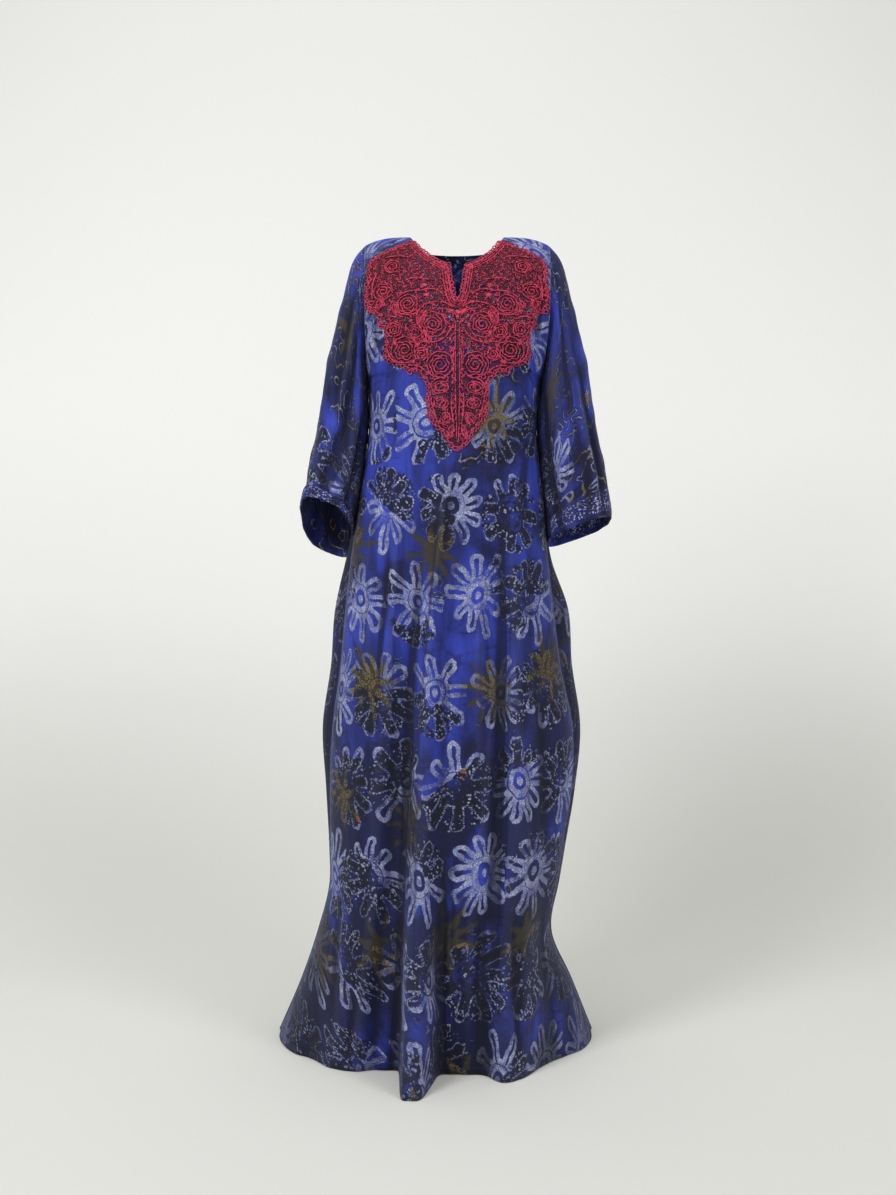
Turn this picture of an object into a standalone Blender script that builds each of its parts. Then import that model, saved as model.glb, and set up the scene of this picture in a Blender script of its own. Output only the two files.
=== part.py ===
"""A long worn kaftan: front and back panels, two wide sleeves and a lace yoke, as hollow cloth."""

import math

import bpy
import numpy as np
from mathutils import Vector
from mathutils.geometry import delaunay_2d_cdt

# Cloth, in metres
WALL = 0.0020
SEAM_GAP = 0.0003
FLOOR = -1.503

# Shoulders and neck: the origin is midway between the two sides of the neck
SHOULDER_HALF = 0.172
NECK_HALF = 0.0885
NECK_DEPTH_FRONT = 0.0835
NECK_DEPTH_BACK = 0.0450
NECK_ROUNDNESS = 2.3
SLIT_HALF = 0.0145
SLIT_LENGTH = 0.071
NECK_REACH = 0.32
SHOULDER_TOP = -0.002
SHOULDER_SLOPE = 0.016

# Armhole oval and chest profile
ARMHOLE_DROP = 0.270
ARMHOLE_DEPTH_FRONT = 0.070
ARMHOLE_DEPTH_BACK = 0.080
CHEST_DROP = 0.300
CHEST_DEPTH = 0.130
SHOULDER_BLADE_DEPTH = 0.118
CHEST_SHARE = 0.62
CHEST_SHARE_DROP = 0.45
EDGE_SHARPNESS = 8

# How round the front's plan is, and how far the back panel swells behind the side seam
FRONT_ROUNDNESS = 2.15
SWELL_DEPTH = 0.100

# Plan of the body at each height: half-widths of the front panel, how far the back stands out past it,
# how far the front and back stand from the shoulder line, and where the side seam runs
BODY_COLUMNS = ("z", "left", "right", "swell_left", "swell_right", "front", "back", "seam_y")
BODY_ROWS = (
    (0.000, 0.172, 0.172, 0.000, 0.000, 0.130, 0.118, 0.000),
    (-0.100, 0.171, 0.172, 0.000, 0.000, 0.130, 0.118, 0.000),
    (-0.200, 0.169, 0.166, 0.000, 0.000, 0.130, 0.118, 0.000),
    (-0.270, 0.167, 0.158, 0.000, 0.000, 0.130, 0.118, 0.000),
    (-0.353, 0.165, 0.149, 0.000, 0.000, 0.131, 0.116, -0.004),
    (-0.500, 0.183, 0.163, 0.002, 0.002, 0.131, 0.115, -0.010),
    (-0.600, 0.196, 0.168, 0.013, 0.009, 0.134, 0.124, -0.015),
    (-0.700, 0.2065, 0.178, 0.025, 0.034, 0.140, 0.134, -0.018),
    (-0.800, 0.2155, 0.190, 0.023, 0.028, 0.148, 0.142, -0.018),
    (-0.920, 0.231, 0.214, 0.024, 0.020, 0.158, 0.151, -0.012),
    (-1.040, 0.237, 0.213, 0.011, 0.010, 0.168, 0.160, -0.004),
    (-1.150, 0.236, 0.196, 0.006, 0.009, 0.178, 0.172, 0.000),
    (-1.210, 0.237, 0.188, 0.004, 0.007, 0.184, 0.180, 0.004),
    (-1.310, 0.262, 0.176, 0.003, 0.004, 0.193, 0.196, 0.012),
    (-1.400, 0.293, 0.215, 0.003, 0.003, 0.200, 0.214, 0.022),
    (FLOOR, 0.337, 0.256, 0.003, 0.003, 0.206, 0.248, 0.045),
)

# Folds of a panel: where each starts, its place across at its top, half way and at the hem,
# how far it stands out half way and at the hem (a trough is negative), and the reach of its two flanks
FOLD_FLATNESS = 3.0
FOLD_COLUMNS = ("name", "top", "x_top", "x_mid", "x_hem", "out_mid", "out_hem", "reach_left", "reach_right")
FRONT_FOLDS = (
    ("centre lobe", -0.400, -0.022, -0.059, -0.075, 0.014, 0.128, 0.025, 0.032),
    ("left trough", -0.520, -0.082, -0.100, -0.135, -0.016, -0.012, 0.034, 0.030),
    ("left swell", -0.620, -0.140, -0.165, -0.215, 0.008, 0.012, 0.040, 0.045),
    ("left hem groove", -1.180, -0.215, -0.235, -0.262, -0.002, -0.012, 0.020, 0.024),
    ("right groove", -0.560, 0.074, 0.080, 0.030, -0.012, 0.006, 0.024, 0.024),
    ("right ridge", -0.520, 0.104, 0.110, 0.088, 0.010, 0.058, 0.034, 0.048),
    ("right flank", -0.980, 0.150, 0.160, 0.190, -0.004, -0.010, 0.026, 0.030),
)
BACK_FOLDS = (
    ("back left trough", -0.420, -0.100, -0.120, -0.170, -0.012, -0.026, 0.030, 0.036),
    ("back left ridge", -0.520, -0.050, -0.066, -0.098, 0.012, 0.034, 0.030, 0.034),
    ("back centre trough", -0.380, 0.004, -0.006, -0.024, -0.010, -0.024, 0.028, 0.032),
    ("back right ridge", -0.480, 0.052, 0.058, 0.050, 0.014, 0.030, 0.028, 0.034),
    ("back right trough", -0.600, 0.104, 0.116, 0.122, -0.010, -0.026, 0.026, 0.030),
    ("back right swell", -0.900, 0.140, 0.156, 0.182, 0.006, 0.012, 0.026, 0.026),
)

# Grid of the panels
ARMHOLE_ROWS = 14
LOWER_ROWS = 15
FRONT_COLUMNS = 32
BACK_COLUMNS = 24
NECK_SIDE_SHARES = (1.0, 0.985, 0.93, 0.83)

# Sleeves: the outer line from the shoulder point to the cuff and the inner line from the underarm,
# as distance from the centre plane and height
SLEEVE_RINGS = 12
SLEEVE_DEPTH = (0.072, 0.078, 0.084, 0.086)
SLEEVE_SQUARENESS = (2.0, 2.3, 2.8, 3.0)
OUTER_LINE = (
    (0.1723, -0.018),
    (0.188, -0.036),
    (0.199, -0.060),
    (0.2105, -0.103),
    (0.222, -0.148),
    (0.232, -0.193),
    (0.242, -0.238),
    (0.249, -0.283),
    (0.255, -0.328),
    (0.262, -0.373),
    (0.271, -0.418),
    (0.279, -0.464),
    (0.286, -0.505),
)
LEFT_INNER_LINE = ((0.1673, -0.270), (0.1705, -0.300), (0.1725, -0.340), (0.1790, -0.420), (0.1900, -0.500), (0.208, -0.562))
RIGHT_INNER_LINE = ((0.1583, -0.270), (0.1605, -0.300), (0.1595, -0.340), (0.1620, -0.420), (0.1710, -0.500), (0.182, -0.574))
SLEEVE_COLUMNS = ("side", "inner_line", "cuff_outer", "cuff_tilt", "groove_at", "groove_depth", "groove_reach")
LEFT_SLEEVE = (-1, LEFT_INNER_LINE, (0.2905, -0.528), 0.046, 118.0, 0.012, 20.0)
RIGHT_SLEEVE = (1, RIGHT_INNER_LINE, (0.287, -0.534), 0.012, 140.0, 0.008, 22.0)

# Lace yoke, on flat measures: across from the centre line, and along the cloth down from the shoulder seam
LACE_LIFT = 0.0009
LACE_THICKNESS = 0.0013
LACE_RELIEF = 0.0009
LACE_NECK_MARGIN = 0.0025
LACE_HALF_OUTLINE = (
    (0.080, 0.050),
    (0.095, 0.060),
    (0.115, 0.072),
    (0.140, 0.085),
    (0.157, 0.096),
    (0.161, 0.113),
    (0.159, 0.135),
    (0.162, 0.160),
    (0.161, 0.184),
    (0.157, 0.202),
    (0.146, 0.205),
    (0.138, 0.216),
    (0.140, 0.232),
    (0.128, 0.240),
    (0.127, 0.262),
    (0.129, 0.292),
    (0.116, 0.305),
    (0.098, 0.308),
    (0.086, 0.324),
    (0.072, 0.318),
    (0.062, 0.332),
    (0.052, 0.341),
    (0.052, 0.368),
    (0.050, 0.404),
    (0.038, 0.417),
    (0.024, 0.434),
    (0.014, 0.455),
    (0.000, 0.463),
)
LACE_FLOWER_COLUMNS = ("across", "along", "radius", "petals")
LACE_FLOWERS = (
    (0.044, 0.236, 0.024, 7),
    (0.092, 0.270, 0.025, 7),
    (0.031, 0.312, 0.022, 6),
    (0.029, 0.362, 0.019, 6),
    (0.086, 0.192, 0.023, 7),
    (0.128, 0.160, 0.023, 7),
)
LACE_GAP = 0.0050
LACE_PETAL_GAP = 0.0036
LACE_GAP_SIDES = 5
LACE_PITCH = 0.0215
LACE_BRIDGE = 0.0034
LACE_VEIN_HALF = 0.0045
LACE_MESH_PITCH = 0.0150
LACE_FIRST_ROW = 0.085

# Colours
BATIK_BLUE = (0.030, 0.048, 0.300, 1.0)
LACE_CRIMSON = (0.330, 0.014, 0.042, 1.0)


def named(columns, row):
    """One table row as a dictionary of its named columns."""
    return dict(zip(columns, row))


def curve(knots, values, at):
    """A smooth line through the values, at one place or an array of places."""
    knots = np.asarray(knots, float)
    values = np.asarray(values, float)
    slopes = np.gradient(values, knots)
    i = np.clip(np.searchsorted(knots, at) - 1, 0, len(knots) - 2)
    step = knots[i + 1] - knots[i]
    f = np.clip((at - knots[i]) / step, 0.0, 1.0)
    start = values[i] * (1 + 2 * f) * (1 - f) ** 2 + slopes[i] * step * f * (1 - f) ** 2
    end = values[i + 1] * (3 - 2 * f) * f**2 - slopes[i + 1] * step * (1 - f) * f**2
    return start + end


def body(column, z):
    """A named column of the body table at height z."""
    rows = BODY_ROWS[::-1]
    return curve([row[0] for row in rows], [row[BODY_COLUMNS.index(column)] for row in rows], z)


def shoulder_line(x):
    """Height of the shoulder seam at x."""
    out = np.clip((np.abs(x) - NECK_HALF) / (SHOULDER_HALF - NECK_HALF), 0.0, 1.2)
    return SHOULDER_TOP - SHOULDER_SLOPE * out**3


def height(x, drop):
    """Height of the cloth at a drop below the shoulder seam. The slope fades out at the underarm."""
    return shoulder_line(x) * np.clip(1 - drop / ARMHOLE_DROP, 0.0, 1.0) - drop


def roll(drop, depth, reach):
    """How far a quarter-ellipse profile has come forward at a drop."""
    left = np.clip(1 - drop / reach, 0.0, 1.0)
    return depth * np.sqrt(1 - left**2)


def armhole(drop, depth):
    """How far the armhole's edge stands from the shoulder line at a drop."""
    across = np.clip(1 - 2 * drop / ARMHOLE_DROP, -1.0, 1.0)
    return depth * np.sqrt(1 - across**2)


def side_base(middle, seam, drop):
    """Depth that a panel's sides settle to: a share of its middle at the chest, the side seam below."""
    down = np.clip(drop / CHEST_SHARE_DROP, 0.0, 1.0)
    share = CHEST_SHARE * (1 - down**2 * (3 - 2 * down))
    return middle * share + seam * (1 - share / CHEST_SHARE)


def fold_offset(folds, x, z):
    """How far all the folds together move the cloth out at x and z."""
    total = np.zeros(np.broadcast(x, z).shape)
    for row in folds:
        fold = named(FOLD_COLUMNS, row)
        down = np.clip((fold["top"] - z) / (fold["top"] - FLOOR), 0.0, 1.0)
        centre = curve((0.0, 0.5, 1.0), (fold["x_top"], fold["x_mid"], fold["x_hem"]), down)
        late = np.clip((down - 0.5) / 0.5, 0.0, 1.0)
        out = fold["out_mid"] * np.sin(np.clip(down / 0.5, 0.0, 1.0) * math.pi / 2)
        out = out + (fold["out_hem"] - fold["out_mid"]) * late**1.8
        wide = 0.75 + 0.25 * down
        reach = np.where(x < centre, fold["reach_left"], fold["reach_right"]) * wide
        total = total + out * np.exp(-(np.abs((x - centre) / reach) ** FOLD_FLATNESS))
    return total


def front_point(s, drop):
    """Front panel at s across (-1 to 1) and a drop below the shoulder seam, as x, y, z arrays."""
    rough_z = -drop
    left = body("left", rough_z)
    right = body("right", rough_z)
    x = (right - left) / 2 + s * (right + left) / 2
    z = height(x, drop)
    edge = np.where(drop < ARMHOLE_DROP, -armhole(drop, ARMHOLE_DEPTH_FRONT), body("seam_y", z))
    middle = -np.where(drop < CHEST_DROP, roll(drop, CHEST_DEPTH, CHEST_DROP), body("front", z))
    base = side_base(middle, body("seam_y", z), drop)
    bow = np.clip(1 - np.abs(s) ** FRONT_ROUNDNESS, 0.0, 1.0) ** (1 / FRONT_ROUNDNESS)
    y = base + (middle - base) * bow + (edge - base) * np.abs(s) ** EDGE_SHARPNESS
    out = fold_offset(FRONT_FOLDS, x, z) * np.clip((1 - np.abs(s)) / 0.12, 0.0, 1.0)
    return np.stack(np.broadcast_arrays(x, y - out, z), axis=-1)


def back_point(s, drop):
    """Back panel at s across and a drop. Behind the side seam it swells past the front's edge."""
    rough_z = -drop
    left = body("left", rough_z)
    right = body("right", rough_z)
    half = (right + left) / 2
    mid = (right - left) / 2
    swell = np.where(s < 0, body("swell_left", rough_z), body("swell_right", rough_z))
    wide = half + np.clip(swell, 0.0, None)
    turn = math.pi - np.arcsin(np.clip(half / wide, 0.0, 1.0))
    angle = s * turn
    x = mid + wide * np.sin(angle)
    z = height(x, drop)
    edge = np.where(drop < ARMHOLE_DROP, armhole(drop, ARMHOLE_DEPTH_BACK), body("seam_y", z))
    deepest = np.where(drop < CHEST_DROP, roll(drop, SHOULDER_BLADE_DEPTH, CHEST_DROP), body("back", z))
    base = side_base(deepest, body("seam_y", z), drop)
    widest = base + SWELL_DEPTH * np.abs(np.cos(turn))
    behind = np.cos(angle) > 0
    y = widest + np.where(behind, deepest - widest, SWELL_DEPTH) * np.cos(angle)
    y = y + (edge - base) * np.abs(np.sin(angle)) ** EDGE_SHARPNESS
    out = fold_offset(BACK_FOLDS, x, z) * np.clip((1 - np.abs(s)) / 0.25, 0.0, 1.0)
    return np.stack(np.broadcast_arrays(x, y + out, z), axis=-1)


def neck_drop(x, neck_depth, profile_depth, slit_length):
    """Drop of the neckline below the shoulder seam at x, with the slit at its centre.
    The neckline is a rounded oval in plan, laid on the panel's profile."""
    out = np.clip(np.abs(x) / NECK_HALF, 0.0, 1.0)
    depth = neck_depth * (1 - out**NECK_ROUNDNESS) ** (1 / NECK_ROUNDNESS)
    round_drop = CHEST_DROP * (1 - np.sqrt(1 - (depth / profile_depth) ** 2))
    slit = slit_length * np.clip(1 - (x / SLIT_HALF) ** 2, 0.0, 1.0)
    return round_drop + slit


def panel_drops():
    """Drops of the rows: round the armhole by equal angles, then evenly to the floor."""
    angles = np.linspace(0.0, math.pi, ARMHOLE_ROWS + 1)
    upper = ARMHOLE_DROP / 2 * (1 - np.cos(angles))
    lower = np.linspace(ARMHOLE_DROP, -FLOOR, LOWER_ROWS + 1)[1:]
    return np.concatenate([upper, lower])


def spread(count, crowd_at, crowd_width, crowd, fixed):
    """Places from -1 to 1, closer together at the edges and round one place, with the fixed places kept."""
    fine = np.linspace(-1.0, 1.0, 2001)
    density = 1 + 0.9 * np.abs(fine) ** 4 + crowd * np.exp(-(((fine - crowd_at) / crowd_width) ** 2))
    total = np.concatenate([[0.0], np.cumsum((density[1:] + density[:-1]) / 2)])
    total = total * count / total[-1]
    stops = np.interp(sorted((-1.0, 1.0) + fixed), fine, total)
    places = [-1.0]
    for start, end in zip(stops[:-1], stops[1:]):
        cells = max(1, round(end - start))
        places.extend(np.interp(np.linspace(start, end, cells + 1)[1:], total, fine))
    return np.array(places)


def panel_grid(point, columns, neckline):
    """Outer points of a panel, a row for each drop and a column for each place across."""
    drops = panel_drops()[:, None]
    across = np.asarray(columns)[None, :]
    top = neck_drop(across * SHOULDER_HALF, *neckline)
    top = top * np.clip(1 - drops / NECK_REACH, 0.0, 1.0)
    return point(across, drops + top)


def grid_normals(grid, ring=False):
    """Unit normals of a grid of points. Both ways round they point out when columns run left to right
    on the front, seen from outside."""
    if ring:
        wrapped = np.concatenate([grid[:, -1:], grid, grid[:, :1]], axis=1)
        across = wrapped[:, 2:] - wrapped[:, :-2]
    else:
        across = np.gradient(grid, axis=1)
    down = np.gradient(grid, axis=0)
    normal = np.cross(down, across)
    return normal / np.linalg.norm(normal, axis=-1, keepdims=True)


def add_mesh(name, points, faces, material):
    """A mesh object with its own material."""
    mesh = bpy.data.meshes.new(name)
    mesh.from_pydata([tuple(map(float, p)) for p in points], [], faces)
    mesh.materials.append(material)
    for polygon in mesh.polygons:
        polygon.use_smooth = True
    thing = bpy.data.objects.new(name, mesh)
    bpy.context.scene.collection.objects.link(thing)
    return thing


def add_cloth(name, outer, inner, material, ring=False):
    """A closed wall of cloth between a grid of outer points and a grid of inner points."""
    rows, columns = outer.shape[:2]
    shift = rows * columns
    index = np.arange(shift).reshape(rows, columns)
    if ring:
        index = np.concatenate([index, index[:, :1]], axis=1)
    faces = []
    for j in range(rows - 1):
        for i in range(index.shape[1] - 1):
            a, b = int(index[j, i]), int(index[j, i + 1])
            c, d = int(index[j + 1, i + 1]), int(index[j + 1, i])
            for one in ((a, c, b), (a, d, c)):
                faces.append(one)
                faces.append(tuple(corner + shift for corner in one[::-1]))
    rims = [index[0], index[-1][::-1]]
    if not ring:
        rims += [index[::-1, 0], index[:, -1]]
    for rim in rims:
        for start, end in zip(rim[:-1].tolist(), rim[1:].tolist()):
            faces.append((start, end, end + shift))
            faces.append((start, end + shift, start + shift))
    points = np.concatenate([outer.reshape(-1, 3), inner.reshape(-1, 3)])
    return add_mesh(name, points, faces, material)


def square_off(normals, where, axis, keep=0.0):
    """Keep one axis of the normals along a seam on its own side of it, so that the two walls don't cross."""
    edge = normals[where]
    if keep == 0.0:
        edge[..., axis] = 0.0
    else:
        edge[..., axis] = np.maximum(edge[..., axis] * keep, 0.0) * keep
    normals[where] = edge / np.linalg.norm(edge, axis=-1, keepdims=True)


def body_panel(name, point, columns, neckline, sign, material):
    """Front (sign -1) or back (sign 1) panel. The shoulder and side seams keep half the gap each."""
    outer = panel_grid(point, columns, neckline)
    normals = grid_normals(outer) * -sign
    on_shoulder = np.flatnonzero(np.abs(np.asarray(columns)) * SHOULDER_HALF >= NECK_HALF)
    square_off(normals, (np.zeros_like(on_shoulder), on_shoulder), axis=1)
    for edge in (0, -1):
        square_off(normals, (slice(ARMHOLE_ROWS - 1, None), edge), axis=1, keep=-sign)
    outer = outer + np.array([0.0, sign * SEAM_GAP / 2, 0.0])
    inner = outer - normals * WALL
    if sign > 0:
        outer = outer[:, ::-1]
        inner = inner[:, ::-1]
    add_cloth(name, outer, inner, material)
    return outer


def line_at(line, share):
    """A point at a share of a broken line's length, smoothed."""
    line = np.asarray(line, float)
    steps = np.linalg.norm(np.diff(line, axis=0), axis=1)
    knots = np.concatenate([[0.0], np.cumsum(steps)]) / steps.sum()
    return curve(knots, line[:, 0], share), curve(knots, line[:, 1], share)


def sleeve_grid(sleeve, share, angle):
    """Sleeve surface at a share of its length and an angle round it: 0 outer, 90 front, 180 inner."""
    outer_line = OUTER_LINE + (sleeve["cuff_outer"],)
    outer_x, outer_z = line_at(outer_line, share)
    inner_x, inner_z = line_at(sleeve["inner_line"], share)
    thirds = (0.0, 0.33, 0.67, 1.0)
    depth = curve(thirds, SLEEVE_DEPTH, share)
    power = 2 / curve(thirds, SLEEVE_SQUARENESS, share)
    along = np.sign(np.cos(angle)) * np.abs(np.cos(angle)) ** power
    forward = np.sign(np.sin(angle)) * np.abs(np.sin(angle)) ** power
    off = np.degrees(np.arccos(np.clip(np.cos(angle - math.radians(sleeve["groove_at"])), -1.0, 1.0)))
    groove = sleeve["groove_depth"] * np.exp(-((off / sleeve["groove_reach"]) ** 2))
    groove = groove * np.sin(np.clip(share * 1.6, 0.0, 1.0) * math.pi / 2)
    x = (outer_x + inner_x) / 2 + (outer_x - inner_x) / 2 * along
    y = -(depth * forward - groove * np.clip(forward, 0.0, 1.0))
    z = (outer_z + inner_z) / 2 + (outer_z - inner_z) / 2 * along
    z = z + sleeve["cuff_tilt"] * forward * share**3
    return np.stack(np.broadcast_arrays(sleeve["side"] * x, y, z), axis=-1)


def add_sleeve(name, row, front_edge, back_edge, material):
    """A sleeve whose first ring is made from the edges of the two panels round the armhole."""
    sleeve = named(SLEEVE_COLUMNS, row)
    side = sleeve["side"]
    seam = np.concatenate([front_edge[: ARMHOLE_ROWS + 1], back_edge[1:ARMHOLE_ROWS][::-1]])
    seam = seam + np.array([side * SEAM_GAP, 0.0, 0.0])
    seam[0, 1] = 0.0
    seam[ARMHOLE_ROWS, 1] = 0.0
    half_turn = np.linspace(0.0, math.pi, ARMHOLE_ROWS + 1)
    angle = np.concatenate([half_turn, -half_turn[1:-1][::-1]])[None, :]
    share = (np.linspace(0.0, 1.0, SLEEVE_RINGS + 1) ** 1.08)[:, None]
    outer = sleeve_grid(sleeve, share, angle)
    start = seam - outer[0]
    outer = outer + start[None] * (np.clip(1 - share / 0.3, 0.0, 1.0) ** 2)[..., None]
    normals = grid_normals(outer, ring=True) * side
    square_off(normals, (0, slice(None)), axis=0)
    inner = outer - normals * WALL
    if side < 0:
        outer = outer[:, ::-1]
        inner = inner[:, ::-1]
    add_cloth(name, outer, inner, material, ring=True)


def profile_table():
    """Drops below the shoulder seam and the lengths along the cloth that reach them, round the chest."""
    turn = np.linspace(0.0, math.pi / 2, 361)
    drops = CHEST_DROP * (1 - np.cos(turn))
    steps = np.hypot(np.diff(drops), np.diff(CHEST_DEPTH * np.sin(turn)))
    return drops, np.concatenate([[0.0], np.cumsum(steps)])


def along_at(drop):
    """Length along the cloth from the shoulder seam at a drop."""
    drops, lengths = profile_table()
    return float(np.interp(drop, drops, lengths) + max(0.0, drop - CHEST_DROP))


def chest_point(across, along):
    """Front panel's outer surface at a flat place on it."""
    drops, lengths = profile_table()
    drop = np.interp(along, lengths, drops) + np.clip(along - lengths[-1], 0.0, None)
    left = body("left", -drop)
    right = body("right", -drop)
    s = (across - (right - left) / 2) / ((right + left) / 2)
    return front_point(np.clip(s, -1.0, 1.0), drop)


def inside(polygon, x, y):
    """Whether a place is inside a polygon."""
    found = False
    for (x0, y0), (x1, y1) in zip(polygon, polygon[1:] + polygon[:1]):
        if (y0 > y) != (y1 > y) and x < x0 + (y - y0) * (x1 - x0) / (y1 - y0):
            found = not found
    return found


def edge_distance(polygon, x, y):
    """Distance from a place to a polygon's edge."""
    start = np.array(polygon)
    run = np.roll(start, -1, axis=0) - start
    to_place = np.array([x, y]) - start
    share = np.clip((to_place * run).sum(1) / np.maximum((run**2).sum(1), 1e-12), 0.0, 1.0)
    return float(np.linalg.norm(to_place - run * share[:, None], axis=1).min())


def lace_outline():
    """The lace's whole outline: down one side to the point, up the other, and along the neckline and slit."""
    neck_places = (0.070, 0.058, 0.045, 0.031, SLIT_HALF + LACE_NECK_MARGIN)
    slit_places = tuple(share * SLIT_HALF for share in (0.92, 0.8, 0.65, 0.45, 0.0))
    neck = []
    for x in neck_places:
        drop = float(neck_drop(np.array(x), NECK_DEPTH_FRONT, CHEST_DEPTH, SLIT_LENGTH))
        neck.append((x, along_at(drop) + LACE_NECK_MARGIN))
    for x in slit_places:
        drop = float(neck_drop(np.array(x), NECK_DEPTH_FRONT, CHEST_DEPTH, SLIT_LENGTH))
        neck.append((x + (LACE_NECK_MARGIN if x else 0.0), along_at(drop) + LACE_NECK_MARGIN))
    right = neck[::-1] + list(LACE_HALF_OUTLINE)
    return right + [(-x, y) for x, y in right[-2:0:-1]]


def gap_polygon(x, y, radius, turn):
    """One gap of the lace, with its corners evenly round it."""
    corners = [turn + 2 * math.pi * k / LACE_GAP_SIDES for k in range(LACE_GAP_SIDES)]
    return [(x + radius * math.cos(a), y + radius * math.sin(a)) for a in corners]


def lace_gaps(outline):
    """The gaps of one half: a ring of them round each flower, and a staggered field between the flowers."""
    gaps = []
    for row in LACE_FLOWERS:
        flower = named(LACE_FLOWER_COLUMNS, row)
        ring = flower["radius"] - LACE_PETAL_GAP - LACE_BRIDGE
        for k in range(flower["petals"]):
            turn = 2 * math.pi * (k + 0.5) / flower["petals"]
            place = flower["across"] + ring * math.cos(turn), flower["along"] + ring * math.sin(turn)
            gaps.append((*place, LACE_PETAL_GAP, turn))
    rows = int((LACE_HALF_OUTLINE[-1][1] - LACE_FIRST_ROW) / (LACE_PITCH * 0.87))
    for j in range(rows + 1):
        for i in range(9):
            across = LACE_VEIN_HALF + LACE_GAP + (i + 0.5 * (j % 2)) * LACE_PITCH
            along = LACE_FIRST_ROW + j * LACE_PITCH * 0.87
            in_flower = any(
                math.hypot(across - row[0], along - row[1]) < row[2] + LACE_GAP for row in LACE_FLOWERS
            )
            if not in_flower:
                gaps.append((across, along, LACE_GAP, 0.7 * i + 0.4 * j))
    kept = []
    for gap in gaps:
        clear = all(math.hypot(gap[0] - k[0], gap[1] - k[1]) > gap[2] + k[2] + LACE_BRIDGE * 0.6 for k in kept)
        clear = clear and inside(outline, gap[0], gap[1])
        if clear and edge_distance(outline, gap[0], gap[1]) > gap[2] + LACE_BRIDGE:
            kept.append(gap)
    return kept


def lace_relief(x, y):
    """How far the lace's outer face stands up: the centre vein, and the hearts and rims of the flowers."""
    rise = math.exp(-((x / 0.006) ** 2)) if y > 0.20 else 0.0
    for row in LACE_FLOWERS:
        off = math.hypot(abs(x) - row[0], y - row[1])
        rise = max(rise, math.exp(-((off / 0.007) ** 2)), math.exp(-(((off - row[2]) / 0.005) ** 2)))
    return rise * LACE_RELIEF


def add_lace(name, material):
    """The lace yoke: a pierced sheet cut to its outline, laid on the front panel's own surface."""
    outline = lace_outline()
    half = lace_gaps(outline)
    loops = [outline]
    for x, y, radius, turn in half:
        shape = gap_polygon(x, y, radius, turn)
        loops.append(shape)
        loops.append([(-u, v) for u, v in shape[::-1]])
    flat = []
    edges = []
    for loop in loops:
        first = len(flat)
        flat.extend(loop)
        edges.extend((first + k, first + (k + 1) % len(loop)) for k in range(len(loop)))
    for j in range(int(0.40 / LACE_MESH_PITCH)):
        for i in range(-11, 12):
            x = (i + 0.5 * (j % 2)) * LACE_MESH_PITCH
            y = 0.060 + j * LACE_MESH_PITCH
            near = min(math.hypot(x - u, y - v) for u, v in flat)
            if near > 0.7 * LACE_MESH_PITCH and inside(outline, x, y):
                flat.append((x, y))
    found = delaunay_2d_cdt([Vector(p) for p in flat], edges, [], 0, 1e-6)
    places = [(p.x, p.y) for p in found[0]]
    middles = [(face, np.mean([places[k] for k in face], axis=0)) for face in found[2]]
    faces = []
    for face, (x, y) in middles:
        near = [loop for loop in loops[1:] if abs(loop[0][0] - x) < 0.02 and abs(loop[0][1] - y) < 0.02]
        if inside(outline, x, y) and not any(inside(loop, x, y) for loop in near):
            faces.append(tuple(face))
    across = np.array([p[0] for p in places])
    along = np.array([p[1] for p in places])
    step = 0.0005
    surface = chest_point(across, along)
    side = chest_point(across + step, along) - chest_point(across - step, along)
    down = chest_point(across, along + step) - chest_point(across, along - step)
    normal = np.cross(side, down)
    normal *= -np.sign(normal[:, 1:2])
    normal /= np.linalg.norm(normal, axis=1, keepdims=True)
    rise = np.array([lace_relief(x, y) for x, y in places])[:, None]
    inner = surface + normal * LACE_LIFT
    outer = inner + normal * (LACE_THICKNESS + rise)
    used = sorted({k for face in faces for k in face})
    renumber = {k: n for n, k in enumerate(used)}
    faces = [tuple(renumber[k] for k in face) for face in faces]
    outer, inner, normal = outer[used], inner[used], normal[used]
    solid = []
    rim = {}
    for a, b, c in faces:
        if np.dot(np.cross(outer[b] - outer[a], outer[c] - outer[a]), normal[a]) < 0:
            b, c = c, b
        solid.append((a, b, c))
        solid.append(tuple(k + len(used) for k in (a, c, b)))
        for start, end in ((a, b), (b, c), (c, a)):
            if rim.pop((end, start), None) is None:
                rim[(start, end)] = True
    for start, end in rim:
        solid.append((end, start, start + len(used)))
        solid.append((end, start + len(used), end + len(used)))
    add_mesh(name, np.concatenate([outer, inner]), solid, material)


def cloth_material(name, colour, roughness):
    """A plain fabric material."""
    material = bpy.data.materials.new(name)
    material.use_nodes = True
    shader = material.node_tree.nodes["Principled BSDF"]
    shader.inputs["Base Color"].default_value = colour
    shader.inputs["Roughness"].default_value = roughness
    shader.inputs["Metallic"].default_value = 0.0
    return material


def clear_scene():
    for thing in list(bpy.data.objects):
        bpy.data.objects.remove(thing, do_unlink=True)


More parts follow.
